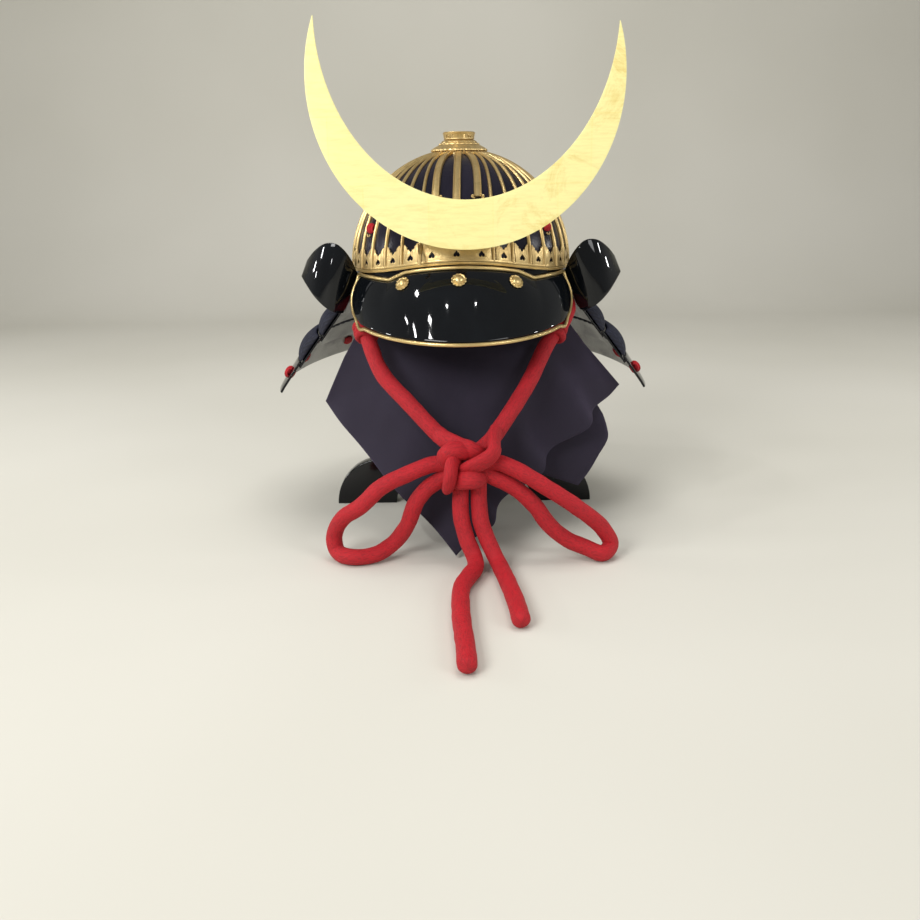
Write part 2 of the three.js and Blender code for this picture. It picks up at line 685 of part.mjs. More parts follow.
// A stand board seen from its face, with lobed feet, an arch and a slot for the other board
function standOutline(half, slotFrom, slotTo) {
  const slot = standBoard / 2 + gap
  const outline = new THREE.Shape()
  const inner = half - standFoot
  outline.moveTo(half, 0)
  outline.bezierCurveTo(half, standLobe * 0.45, half - 14, standLobe * 0.9, Math.max(standNeckHalf, half - 42), standLobe)
  outline.lineTo(standNeckHalf, standTop)
  if (slotTo === standTop) {
    outline.lineTo(slot, standTop)
    outline.lineTo(slot, slotFrom)
    outline.lineTo(-slot, slotFrom)
    outline.lineTo(-slot, standTop)
  }
  outline.lineTo(-standNeckHalf, standTop)
  outline.lineTo(-Math.max(standNeckHalf, half - 42), standLobe)
  outline.bezierCurveTo(-half + 14, standLobe * 0.9, -half, standLobe * 0.45, -half, 0)
  outline.lineTo(-inner, 0)
  outline.bezierCurveTo(-inner, standArch * 0.5, -slot * 4, standArch, -slot, standArch)
  if (slotTo !== standTop) {
    outline.lineTo(-slot, slotTo)
    outline.lineTo(slot, slotTo)
  }
  outline.lineTo(slot, standArch)
  outline.bezierCurveTo(slot * 4, standArch, inner, standArch * 0.5, inner, 0)
  return outline
}

function makeStandBoard(half, slotFrom, slotTo) {
  const shape = standOutline(half, slotFrom, slotTo)
  return new THREE.ExtrudeGeometry(shape, { depth: standBoard, bevelEnabled: false, curveSegments: 6 })
    .translate(0, 0, -standBoard / 2).rotateX(Math.PI / 2)
}

const blockTop = domeHeight(blockTopRadius / (bowlHalfWidth - bowlWall)) - bowlWall - 2 * gap - facetRoom
const blockAt = (height) => {
  const climb = THREE.MathUtils.clamp((height - blockShoulder) / (blockTop - blockShoulder), 0, 1)
  return lerp(blockTopRadius, blockRadius, Math.sqrt(1 - climb * climb))
}

function makeHeadBlock() {
  const dome = range(6, (k) => {
    const height = lerp(blockShoulder, blockTop, Math.sin((Math.PI / 2) * (k / 5)))
    return [blockAt(height), height]
  })
  return turned([[0, standTop + gap], [standNeckHalf, standTop + gap], [blockRadius, standTop + 20], ...dome,
    [0, blockTop]], 18)
}

// Middle line of the cloth, from its hidden corner over the head block down to its tip
const clothLine = new THREE.CatmullRomCurve3([
  ...[0.84, 0.6, 0.3, 0].map((share) => {
    const height = lerp(blockShoulder, blockTop, share)
    return vector(0, -blockAt(height) - gap - clothWall / 2 - 2 * facetRoom, height)
  }),
  vector(0, lerp(-blockRadius, -clothTip, 0.5) - 2, lerp(blockShoulder, clothTipHeight, 0.5)),
  vector(0, -clothTip, clothTipHeight),
])

function clothPoint(a, b) {
  const down = a + b - 1 // from -1 at the hidden corner to 1 at the tip
  const side = b - a
  const middle = clothLine.getPointAt((down + 1) / 2)
  const free = THREE.MathUtils.smoothstep(down, -0.66, -0.3)
  const across = side * clothHalfDiagonal
  const wrap = across / Math.abs(middle.y)
  const fold = clothFold * free * Math.sin(side * 9) * Math.sin(side * 4 + 1)
  const stray = clothStraySide * between(clothStray, 'down', down, 'side')
  const hung = vector(across * clothSpread + stray, middle.y + clothSideSweep * side * side - Math.abs(fold),
    middle.z - clothSideDrop * Math.abs(side) ** 1.5 + clothTilt * side)
  return vector(-middle.y * Math.sin(wrap), middle.y * Math.cos(wrap), middle.z).lerp(hung, free)
}

function makeCloth() {
  return wall(range(clothSteps + 1, (j) => range(clothSteps + 1,
    (i) => clothPoint(j / clothSteps, i / clothSteps))), clothWall)
}

function tieShape(extra) {
  return new THREE.SphereGeometry(1, 10, 8).rotateX(Math.PI / 2)
    .scale(tieHalfWidth + extra, tieHalfDepth + extra, tieHalfHeight + extra).translate(...tieMiddle)
}

function addChinCord() {
  const clearance = solid(tieShape(gap))
  for (const [name, route] of Object.entries(cordRoutes)) {
    const cord = solid(tube(route.map((p) => vector(...p)), cordRadius, cordSides, cordStep))
    add(name, fromSolid(cord.subtract(clearance)), red, cordPieces)
  }
  add('cord_tie', merged(tieShape(0)), red, cordPieces)
}

add('bowl', makeBowl(), lacquer)
add('rib_cage', makeRibCage(), gilt)
add('front_bar_left', makeFrontBar(-1), gilt)
add('front_bar_middle', makeFrontBar(0), gilt)
add('front_bar_right', makeFrontBar(1), gilt)
add('border', makeBorder(), gilt)
add('border_bead', makeBorderBead(), gilt)
add('crown_ornament', makeCrown(), gilt)
addBowlKnots()
add('waist_band', makeBand(), lacquer)
add('visor', makeVisor(), lacquer)
add('visor_edging', makeVisorEdging(), gilt)
addRivet('visor_rivet_left', rivetShift - rivetSideShare)
addRivet('visor_rivet_middle', rivetShift)
addRivet('visor_rivet_right', rivetShift + rivetSideShare)
add(lames[0].name, makeTopLame(), lacquer)
lames.slice(1).forEach((lame, k) => add(lame.name, wall(lameRows(k + 1, 1), lameWall), lacquer))
lacings.forEach((lacing) => add(lacing.name, makeLacing(lacing), navy))
addGuardKnots()
add('crest', makeCrest(), leaf).position.set(crestShift, -crestPlane, outerMiddle)
add('crest_post', makeCrestPost(), gilt)
const slotMiddle = (standArch + standTop) / 2
add('stand_board_front', makeStandBoard(standHalfWidth, slotMiddle - gap / 2, standTop), lacquer)
add('stand_board_side', makeStandBoard(standHalfDepth, standArch, slotMiddle + gap / 2), lacquer).rotation.z = Math.PI / 2
add('head_block', makeHeadBlock(), lacquer)
add('cloth', makeCloth(), purple)
addChinCord()

// The origin lies on the surface, under the middle of the box round all but the cord
const box = new THREE.Box3().setFromObject(hardPieces, true)
const middle = box.getCenter(vector(0, 0, 0))
group.position.set(-middle.x, -middle.y, -box.min.z)

export default group
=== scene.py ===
# Looks of a ribbed samurai helmet with a crescent crest, on a black stand over a purple cloth.
# Shapes are worked in millimetres about the helmet's upright axis, its face towards -Y.
import math

import bmesh
import bpy
from mathutils import Matrix, Vector, noise


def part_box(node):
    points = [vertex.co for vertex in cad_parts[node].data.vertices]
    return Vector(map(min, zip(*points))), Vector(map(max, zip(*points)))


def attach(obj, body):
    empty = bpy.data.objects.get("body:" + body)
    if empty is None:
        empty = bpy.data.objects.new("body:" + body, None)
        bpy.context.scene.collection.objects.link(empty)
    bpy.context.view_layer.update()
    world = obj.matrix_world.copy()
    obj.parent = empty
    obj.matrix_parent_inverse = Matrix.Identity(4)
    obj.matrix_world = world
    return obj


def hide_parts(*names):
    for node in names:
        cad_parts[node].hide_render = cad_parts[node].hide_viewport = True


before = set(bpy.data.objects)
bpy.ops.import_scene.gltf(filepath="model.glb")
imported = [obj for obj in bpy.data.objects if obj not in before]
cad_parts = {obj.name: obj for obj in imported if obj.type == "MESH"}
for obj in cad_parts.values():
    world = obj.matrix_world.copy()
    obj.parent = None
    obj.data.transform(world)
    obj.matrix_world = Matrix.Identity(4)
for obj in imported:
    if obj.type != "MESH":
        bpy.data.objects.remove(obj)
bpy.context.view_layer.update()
crown_low, crown_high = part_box("crown_ornament")
AXIS_Y = (crown_low.y + crown_high.y) / 2
TO_FRAME = Matrix.Translation((0, AXIS_Y, 0)) @ Matrix.Scale(0.001, 4)

GAP = 0.3
FACET_ROOM = 0.5
RIM, HALF_WIDTH, HALF_DEPTH, RISE, BOWL_WALL, CROWN_HOLE = 257, 108, 118, 108, 2, 9
BOWL_TURN, PANEL_HALF, RIB_COUNT, CROWDING = -2.2, 18, 33, 30
RIB_WIDTH, RIB_RELIEF, RIB_TOP = 3, 2.2, 25
BAR_WIDTH, BAR_RELIEF, BAR_TOP_OFFSET, BAR_LOW_OFFSET, SIDE_BAR_BOTTOM = 7.6, 2.8, 7, 19, 322
BORDER_HEIGHT, FRONT_ARCH, ARCH_HALF = 18.5, 10.5, 60
HEART_MIDDLE, HEART_WIDTH, HEART_HEIGHT = 6.8, 6.0, 5.8
BEAD_RADIUS = 1.3
BAND_HEIGHT, BAND_WALL = 15, 2
VISOR_WALL, VISOR_REACH, VISOR_DROP, VISOR_SIDE_RISE, VISOR_HALF_ANGLE = 2, 46, 57.5, 7, 62
VISOR_BROW, VISOR_CORNER, EDGING_RADIUS = 5, 0.05, 1.7
RIVET_RADIUS, RIVET_RISE, RIVET_DOWN, RIVET_SHIFT, RIVET_SIDE = 7, 4.4, 0.15, -0.02, 0.42
LAME_WALL, LAME_ROOM = 2, 0.5
LAME_SEAT = GAP + FACET_ROOM + LAME_WALL / 2
GUARD_TOP, GUARD_LOW, GUARD_RISE = 251, 131, 22
GUARD_HALF_WIDTH, GUARD_HALF_DEPTH, GUARD_TOP_ANGLE, GUARD_LOW_ANGLE = 183, 176, 112, 104
LACING_BULGE, BRAID_RISE, BRAID_WALL = 3.6, 1.2, 1.2
KNOT_ANGLES, KNOT_LEVEL = (98, 74, 48, 18), 0.87
TOP_LAME_SHARE = 0.31
WING_REACH, WING_FORWARD, WING_TOP_RISE, WING_LOW_RISE = 42, 14, 30, 34
WING_FLARE, WING_BULGE = 8, 2.2
CREST_HALF_WIDTH, CREST_HALF_HEIGHT = 133, 137.8
CREST_INNER_WIDTH, CREST_INNER_HEIGHT = 125, 146.3
CREST_BOTTOM, CREST_DEPTH, CREST_THICK, CREST_PLANE = 279, 42, 2, 140
CREST_LEAN, CREST_SHIFT = -1.7, 5.5
STAND_HALF_WIDTH, STAND_HALF_DEPTH, STAND_FOOT, STAND_LOBE, STAND_NECK = 138, 96, 64, 50, 60
STAND_ARCH, STAND_BOARD, STAND_TOP = 60, 14, 112
BLOCK_RADIUS, BLOCK_SHOULDER, BLOCK_TOP_RADIUS = 68, 248, 24
CLOTH_HALF, CLOTH_WALL, CLOTH_TIP, CLOTH_TIP_HEIGHT, CLOTH_SPREAD = 178, 1.6, 157, 3, 0.85
CLOTH_SIDE_DROP, CLOTH_TILT, CLOTH_SWEEP, CLOTH_STRAY, CLOTH_SIDE = 44, 6, 68, 10, 252
CORD_RADIUS = 7.5
BRAIDS = {"lacing_upper": 84, "lacing_lower": 98}
BOWL_KNOT_LEVEL, BOWL_KNOT_GAPS = 294.5, (3, 9, RIB_COUNT - 11, RIB_COUNT - 5)
PEARLS, CROWN_COLUMNS = 56, 80
STITCHES, STITCH_LEVEL, STITCHED_LAME = 52, 0.575, 2
CAMERA_PLACE, CAMERA_TILT, CAMERA_ROLL, CAMERA_LENS = (-0.004, -0.9632, 0.334), 16.78, -0.9, 35.84

GUARD_PROFILE = ((0, 0), (0.31, 0.19), (0.765, 0.74), (1, 1))
VISOR_BROW_LINE = ((0, 0), (0.3, 0), (0.45, 0.1), (0.6, 1), (0.8, 0.3), (1, 0))
CLOTH_STRAY_LINE = ((-0.45, -0.1), (-0.2, 0.2), (0, 1), (1, -0.9))
LAMES = {"lame_second": (1, 0.305, 0.56), "lame_third": (2, 0.53, 0.79), "lame_lowest": (3, 0.76, 1)}
LACINGS = {"lacing_upper": (1, 0.325, 0.52), "lacing_lower": (2, 0.535, 0.745)}
# Each wing column: out, forward, and the shares of its low and high rise
WING_COLUMNS = ((0.12, 0.75, 0.02, 0.55), (0.36, 1, 0.18, 0.97), (0.62, 0.65, 0.48, 1),
                (0.85, -0.3, 0.8, 0.74), (1, -1.2, 1, 0.42))

CORD_ROUTES = {
    "chin_cord": ((-2, -160, 100), (-20, -153, 113), (-50, -134, 141), (-75, -114, 165), (-88, -91, 190),
                  (-94, -71, 205), (-101.5, -46, 216), (-103, 0, 222), (-90, 55, 227), (-55, 98, 230),
                  (0, 113, 231), (55, 98, 230), (90, 55, 227), (103, 0, 222), (104.5, -52, 216),
                  (94.5, -76.5, 202), (81, -91, 188), (61, -119, 156), (37, -143, 125), (24, -153, 110),
                  (8, -160, 98)),
    "loop_left": ((-12, -166, 93), (-30, -167, 92), (-51, -171, 85), (-75, -174, 74), (-94, -173, 56),
                  (-113, -166, 41), (-122, -160, 22), (-120, -163, 9), (-106, -177, 8), (-83, -173, 8.5),
                  (-66, -162, 16), (-53, -166, 35), (-45, -168, 56), (-34, -168, 70), (-8, -166, 86)),
    "loop_right": ((14, -166, 93), (30, -167, 93), (47, -171, 87), (72, -174, 72), (101, -174, 52),
                   (126, -168, 29), (134, -168, 13), (125, -178, 8), (111, -173, 12), (93, -172, 20),
                   (76, -172, 35), (63, -170, 53), (44, -168, 70), (10, -166, 87)),
    "end_left": ((-4, -168, 80), (-4, -171, 64), (-4, -178, 48), (1, -185, 27), (8, -193, 11), (8, -206, 8),
                 (3, -222, 8), (-4, -246, 8), (-5, -298, 8), (-2, -352, 8), (-1, -382, 8)),
    "end_right": ((12.5, -168, 80), (12.5, -170, 64), (14, -180, 42), (22, -188, 21), (29, -198, 8.5),
                  (35, -237, 8), (40, -280, 8), (42, -313, 8)),
}
# Real length of each cord in metres, and what is on its far end
CORD_FACTS = {
    "chin_cord": (0.831, "knot"),
    "loop_left": (0.316, "knot"),
    "loop_right": (0.311, "knot"),
    "end_left": (0.268, "bare"),
    "end_right": (0.198, "bare"),
}
# Strands of the knot, from the back to the front: half width, half depth, share of it left at the end, route
KNOT_STRANDS = (
    (8.2, 6.0, 1.0, ((-24, -153, 117), (-18, -159, 114), (-10, -166, 111.5), (-2, -170, 109),
                     (6, -171, 106), (13, -168, 100), (17, -162, 92))),
    (8.0, 5.6, 1.0, ((8, -166, 102), (-1, -173, 106), (-9, -177, 108.5), (-14.5, -178, 106),
                     (-17.5, -174, 99), (-15.5, -167, 92), (-9, -162, 87))),
    (9.2, 5.8, 1.0, ((29, -156, 119), (27, -163, 115), (26.5, -171, 111), (26.5, -177, 107),
                     (21.5, -181, 102), (13, -182, 97), (5, -179, 92), (0, -172, 86), (-3, -164, 79))),
    (9.4, 5.6, 1.0, ((-5, -160, 96), (-8.5, -173, 98), (-11.5, -182, 94.5), (-12.5, -186, 87.5),
                     (-13.3, -184, 81), (-13.8, -177, 76), (-12.5, -167, 74))),
    (8.4, 5.4, 0.45, ((-9, -168, 77), (-4, -180, 81), (3, -186, 83), (9.5, -185, 83), (15.5, -179, 82),
                      (20, -169, 80))),
)

sin, cos, pi = math.sin, math.cos, math.pi
radians = math.radians


# Curves and surfaces of the helmet

def lerp(a, b, share):
    return a + (b - a) * share


def clamp(value, low=0.0, high=1.0):
    return max(low, min(high, value))


def smoothstep(value, low, high):
    share = clamp((value - low) / (high - low))
    return share * share * (3 - 2 * share)


def between(table, value):
    """Value between a table's rows, by straight lines"""
    for (low, first), (high, last) in zip(table, table[1:]):
        if value <= high:
            break
    return lerp(first, last, clamp((value - low) / (high - low)))


def curve(points, count, closed=False):
    """Evenly spaced points on one smooth line through the given ones"""
    points = [Vector(p) for p in points]
    if closed:
        ends = [points[-1], *points, points[0], points[1]]
    else:
        ends = [2 * points[0] - points[1], *points, 2 * points[-1] - points[-2]]
    fine = []
    for a, b, c, d in zip(ends, ends[1:], ends[2:], ends[3:]):
        t1 = (b - a).length ** 0.5
        t2 = t1 + (c - b).length ** 0.5
        t3 = t2 + (d - c).length ** 0.5
        for k in range(16):
            t = lerp(t1, t2, k / 16)
            p = a.lerp(b, t / t1)
            q = b.lerp(c, (t - t1) / (t2 - t1))
            r = c.lerp(d, (t - t2) / (t3 - t2))
            p, q = p.lerp(q, t / t2), q.lerp(r, (t - t1) / (t3 - t1))
            fine.append(p.lerp(q, (t - t1) / (t2 - t1)))
    fine.append(ends[-2].copy())
    reach = [0.0]
    for a, b in zip(fine, fine[1:]):
        reach.append(reach[-1] + (b - a).length)
    line = []
    k = 0
    for n in range(count + 1):
        wanted = reach[-1] * n / count
        while k < len(fine) - 2 and reach[k + 1] < wanted:
            k += 1
        line.append(fine[k].lerp(fine[k + 1], clamp((wanted - reach[k]) / (reach[k + 1] - reach[k]))))
    return line


def length_of(line):
    return sum((b - a).length for a, b in zip(line, line[1:]))


def shell(turn, height, out):
    """Point of the bowl's shell: turned from the front, at a height, out from its surface"""
    climb = clamp((height - RIM) / RISE, 0, 0.999)
    share = math.sqrt(1 - climb * climb)
    x, y = HALF_WIDTH * share * sin(turn), -HALF_DEPTH * share * cos(turn)
    normal = Vector((x / HALF_WIDTH ** 2, y / HALF_DEPTH ** 2, climb / RISE)).normalized()
    return Vector((x, y, height)) + normal * out


def dome_height(share):
    return RIM + RISE * math.sqrt(1 - share * share)


def dome_share(height):
    return math.sqrt(1 - clamp((height - RIM) / RISE) ** 2)


def dome_heights(top, bottom, steps):
    """Heights from the top down in even steps of the dome's angle"""
    high, low = (math.asin(clamp((h - RIM) / RISE, -0.3)) for h in (top, bottom))
    return [RIM + RISE * sin(lerp(high, low, k / steps)) for k in range(steps + 1)]


def rim_at(turn):
    """Height of the border's lower edge, which arches over the brow"""
    share = min(abs(math.atan2(sin(turn), cos(turn))) / radians(ARCH_HALF), 1)
    return RIM + FRONT_ARCH * 0.5 * (1 + cos(pi * share))


RIB_PITCH = (360 - 2 * PANEL_HALF) / (RIB_COUNT - 1)
RIB_TOP_HEIGHT = dome_height(RIB_TOP / HALF_WIDTH)


def rib_turn(k, height):
    low = PANEL_HALF + k * RIB_PITCH
    aside = CROWDING * (1 - dome_share(height)) ** 1.4 * (1 - low / 180)
    return radians(BOWL_TURN + low + aside)


def visor_point(around, down):
    """Middle surface of the visor: around from -1 to 1 and down from 0 to 1"""
    seat = GAP + FACET_ROOM + EDGING_RADIUS
    bulge = sin(pi * clamp(down))
    corner = 1 - VISOR_CORNER * max(0, (down - 0.7) / 0.3) ** 2
    turn = around * corner * radians(VISOR_HALF_ANGLE + 5 * bulge - 3 * down)
    half_width = HALF_WIDTH + seat + 4.6 * down + 3 * bulge
    half_depth = HALF_DEPTH + seat + VISOR_REACH * max(down, 0) ** 0.85
    share = abs(around)
    room = 3 * GAP + 2 * FACET_ROOM + 2 * BEAD_RADIUS + 2 * EDGING_RADIUS
    top = rim_at(around * radians(VISOR_HALF_ANGLE)) - room - VISOR_BROW * between(VISOR_BROW_LINE, share)
    lip = rim_at(0) - room - VISOR_DROP + VISOR_SIDE_RISE * share * share
    return Vector((half_width * sin(turn), -half_depth * cos(turn), lerp(top, lip, down)))


def normal_of(surface, u, v, step=0.01):
    """Outward direction of a surface whose first value runs to the right and second one down"""
    across = surface(u + step, v) - surface(u - step, v)
    down = surface(u, v + step) - surface(u, v - step)
    return down.cross(across).normalized()


def guard_place(around, down):
    spread = between(GUARD_PROFILE, down)
    half_width = lerp(HALF_WIDTH + LAME_SEAT, GUARD_HALF_WIDTH, spread)
    half_depth = lerp(HALF_DEPTH + LAME_SEAT, GUARD_HALF_DEPTH, spread)
    turn = pi + around * radians(lerp(GUARD_TOP_ANGLE, GUARD_LOW_ANGLE, down))
    low = GUARD_LOW + GUARD_RISE * 0.5 * (1 + cos(pi * around))
    return Vector((half_width * sin(turn), -half_depth * cos(turn), lerp(GUARD_TOP, low, down)))


def guard_point(around, down, out):
    """Point of the neck guard: around from the back, a share of the way down, out from the top lame"""
    return guard_place(around, down) + normal_of(guard_place, around, down) * out


def outward(surface, u, v):
    """Direction out of a surface whose last value is the distance out of it"""
    return (surface(u, v, 1) - surface(u, v, 0)).normalized()


def lame_out(k):
    return k * (LAME_WALL + LAME_ROOM)


BLOCK_TOP = dome_height(BLOCK_TOP_RADIUS / (HALF_WIDTH - BOWL_WALL)) - BOWL_WALL - 2 * GAP - FACET_ROOM


def block_radius(height):
    climb = clamp((height - BLOCK_SHOULDER) / (BLOCK_TOP - BLOCK_SHOULDER))
    return lerp(BLOCK_TOP_RADIUS, BLOCK_RADIUS, math.sqrt(1 - climb * climb))


CLOTH_LINE = curve(
    [(0, -block_radius(h) - GAP - CLOTH_WALL / 2 - 2 * FACET_ROOM, h)
     for h in (lerp(BLOCK_SHOULDER, BLOCK_TOP, share) for share in (0.84, 0.6, 0.3, 0))]
    + [(0, lerp(-BLOCK_RADIUS, -CLOTH_TIP, 0.5) - 2, lerp(BLOCK_SHOULDER, CLOTH_TIP_HEIGHT, 0.5)),
       (0, -CLOTH_TIP, CLOTH_TIP_HEIGHT)], 200)


def cloth_point(a, b):
    """Point of the hung square: its hidden corner at 0, 0 and its tip at 1, 1"""
    down = a + b - 1
    side = b - a
    place = clamp((down + 1) / 2) * 200
    k = min(int(place), 199)
    middle = CLOTH_LINE[k].lerp(CLOTH_LINE[k + 1], place - k)
    free = smoothstep(down, -0.66, -0.3)
    across = side * CLOTH_HALF
    wrap = across / abs(middle.y)
    soft = 4 * sin(side * 7 + 0.6 * down) * sin(side * 4 + 1)
    wave = 2 * pi * (a - 0.2) / 0.29
    edge = smoothstep(b, 0.7, 1) * smoothstep(a, 0.04, 0.2)
    ripple = 7 * edge * (1 - smoothstep(a, 0.8, 0.95)) * sin(wave)
    soft += 6 * smoothstep(b, 0.4, 1) * smoothstep(a, 0.04, 0.25) * (0.5 + 0.5 * sin(wave + 0.9))
    soft += 4 * smoothstep(a, 0.5, 1) * (0.5 + 0.5 * sin(2 * pi * (b + 0.35 * a) / 0.42))
    soft -= 9 * math.exp(-((side + 0.02) / 0.15) ** 2) * (1 - smoothstep(down, 0.35, 0.8))
    crumple = noise.noise(Vector((side * 2.6, down * 1.3, 0.4))) * 3.0
    crumple += noise.noise(Vector((side * 7 + down * 2, down * 3.1, 2.7))) * 1.3
    fold = free * (soft + 1 + crumple * (1 - 0.4 * abs(side)))
    swell = 4.5 * free * clamp(-side * 3) * sin(pi * clamp(down)) if side < 0 else 0
    stray = CLOTH_STRAY * between(CLOTH_STRAY_LINE, down)
    hung = Vector((across * CLOTH_SPREAD + stray - swell + ripple,
                   middle.y + CLOTH_SWEEP * side * side - fold,
                   middle.z - CLOTH_SIDE_DROP * abs(side) ** 1.5 + CLOTH_TILT * side))
    wrapped = Vector((-middle.y * sin(wrap), middle.y * cos(wrap), middle.z))
    return wrapped.lerp(hung, free)


# Mesh making

def new_mesh():
    bm = bmesh.new()
    bm.loops.layers.uv.new("UVMap")
    return bm


def mapped(bm, across, along, place, size=(1, 1)):
    """A grid whose points are put in place by place(u, v), with its UV map in the given size"""
    made = bmesh.ops.create_grid(bm, x_segments=across, y_segments=along, size=0.5, calc_uvs=True)
    layer = bm.loops.layers.uv.active
    faces = {face for vert in made["verts"] for face in vert.link_faces}
    for face in faces:
        for loop in face.loops:
            loop[layer].uv = (loop[layer].uv.x * size[0], loop[layer].uv.y * size[1])
    for vert in made["verts"]:
        vert.co = place(vert.co.x + 0.5, vert.co.y + 0.5)
    return made["verts"]


def weld(bm, reach=1e-3):
    bmesh.ops.remove_doubles(bm, verts=bm.verts, dist=reach)


def face_outwards(bm):
    bmesh.ops.recalc_face_normals(bm, faces=bm.faces)


def close_up(bm):
    """Merges the seams, fills the open ends and turns the faces outwards"""
    weld(bm)
    open_edges = [edge for edge in bm.edges if edge.is_boundary]
    if open_edges:
        bmesh.ops.holes_fill(bm, edges=open_edges, sides=0)
    face_outwards(bm)


def settle(name, bm, looks, replaced=(), crease=38):
    """Puts a finished mesh in the model's frame as a piece that stands for the named nodes"""
    bmesh.ops.transform(bm, matrix=TO_FRAME, verts=bm.verts)
    mesh = bpy.data.meshes.new(name)
    bm.to_mesh(mesh)
    bm.free()
    mesh.shade_smooth()
    mesh.set_sharp_from_angle(angle=radians(crease))
    piece = bpy.data.objects.new(name, mesh)
    bpy.context.collection.objects.link(piece)
    for look in looks if isinstance(looks, (list, tuple)) else [looks]:
        mesh.materials.append(look)
    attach(piece, "root")
    if replaced:
        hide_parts(*replaced)
    return piece


def thicken(piece, wall, inner=0, rim=0, offset=0.0):
    """Gives a sheet its wall; inner and rim are steps to the materials of those faces"""
    solid = piece.modifiers.new("wall", "SOLIDIFY")
    solid.thickness = wall / 1000
    solid.offset = offset
    solid.use_even_offset = True
    solid.material_offset = inner
    solid.material_offset_rim = rim
    return piece


def soften(piece, width, segments=2, angle=35):
    bevel = piece.modifiers.new("soft edges", "BEVEL")
    bevel.width = width / 1000
    bevel.segments = segments
    bevel.limit_method = "ANGLE"
    bevel.angle_limit = radians(angle)
    bevel.use_clamp_overlap = True
    return piece


def frames_along(line, closed=False, side=None):
    """Point, side and up direction at each point of a line, without needless twist"""
    count = len(line)
    directions = []
    for k in range(count):
        before = line[(k - 1) % (count - 1)] if closed else line[max(k - 1, 0)]
        after = line[(k + 1) % (count - 1)] if closed else line[min(k + 1, count - 1)]
        directions.append((after - before).normalized())
    side = Vector(side) if side else directions[0].orthogonal()
    frames = []
    for point, direction in zip(line, directions):
        side = (side - direction * side.dot(direction)).normalized()
        frames.append((point, side, direction.cross(side)))
    return frames


def tube(bm, line, section, sides=16, closed=False, side=None):
    """Sweeps a section, a function of the angle round it and the share of the way, along a line"""
    frames = frames_along(line, closed, side)
    steps = len(line) - 1
    around = 2 * pi * abs(section(0, 0.5)[0])

    def place(u, v):
        point, right, up = frames[round(v * steps)]
        a, b = section(2 * pi * u, v)
        return point + right * a + up * b

    return mapped(bm, sides, steps, place, (around, length_of(line)))


def wire(radius):
    """Round section of one thickness all along"""
    return lambda angle, share: (radius * cos(angle), radius * sin(angle))


def spun(bm, outline, steps, closed=True):
    """Turns an outline of radius and height about the axis"""
    verts = [bm.verts.new((radius, 0, height)) for radius, height in outline]
    pairs = list(zip(verts, verts[1:])) + ([(verts[-1], verts[0])] if closed else [])
    edges = [bm.edges.new(pair) for pair in pairs]
    bmesh.ops.spin(bm, geom=verts + edges, cent=(0, 0, 0), axis=(0, 0, 1), angle=2 * pi, steps=steps,
                   use_merge=True)
    weld(bm)
    face_outwards(bm)


def flat_shape(outlines, thick, bevel=0.0, segments=2):
    """Mesh of a flat plate from its outline and the outlines of its holes, middle at z 0"""
    data = bpy.data.curves.new("outline", "CURVE")
    data.dimensions = "2D"
    data.fill_mode = "BOTH"
    data.extrude = thick / 2 - bevel
    data.bevel_depth = bevel
    data.bevel_resolution = segments - 1
    data.offset = -bevel
    for outline in outlines:
        spline = data.splines.new("POLY")
        spline.points.add(len(outline) - 1)
        for point, (x, y) in zip(spline.points, outline):
            point.co = (x, y, 0, 1)
        spline.use_cyclic_u = True
    holder = bpy.data.objects.new("outline", data)
    bpy.context.collection.objects.link(holder)
    bpy.context.view_layer.update()
    mesh = bpy.data.meshes.new_from_object(holder.evaluated_get(bpy.context.evaluated_depsgraph_get()))
    bpy.data.objects.remove(holder)
    bpy.data.curves.remove(data)
    bm = new_mesh()
    bm.from_mesh(mesh)
    bpy.data.meshes.remove(mesh)
    weld(bm)
    return bm


def cut_columns(bm, places):
    for x in places:
        bmesh.ops.bisect_plane(bm, geom=bm.verts[:] + bm.edges[:] + bm.faces[:], plane_co=(x, 0, 0),
                               plane_no=(1, 0, 0), dist=1e-5)


def joined(bm, other, place):
    """Adds a copy of another mesh, each of its points put in place"""
    mesh = bpy.data.meshes.new("copy")
    other.to_mesh(mesh)
    start = len(bm.verts)
    bm.from_mesh(mesh)
    bpy.data.meshes.remove(mesh)
    bm.verts.ensure_lookup_table()
    for vert in bm.verts[start:]:
        vert.co = place(vert.co)


# Node trees

def node(tree, kind, inputs=None, **settings):
    """Adds a node, sets it up, and sets or links its inputs"""
    made = tree.nodes.new("ShaderNode" + kind)
    for key, value in settings.items():
        setattr(made, key, value)
    for key, value in (inputs or {}).items():
        if isinstance(value, bpy.types.NodeSocket):
            tree.links.new(value, made.inputs[key])
        else:
            made.inputs[key].default_value = value
    return made


def sum_of(tree, operation, *values, clamped=False):
    return node(tree, "Math", dict(enumerate(values)), operation=operation, use_clamp=clamped).outputs[0]


def blended(tree, share, first, last):
    mix = node(tree, "Mix", {0: share, 6: first, 7: last}, data_type="RGBA")
    return mix.outputs[2]


def noise_of(tree, place, scale, detail, **more):
    """Value of a noise texture at a place"""
    return node(tree, "TexNoise", {"Vector": place, "Scale": scale, "Detail": detail, **more}).outputs["Fac"]


def spread_out(tree, value, low, high, to_low=0.0, to_high=1.0):
    return node(tree, "MapRange", {0: value, 1: low, 2: high, 3: to_low, 4: to_high}).outputs[0]


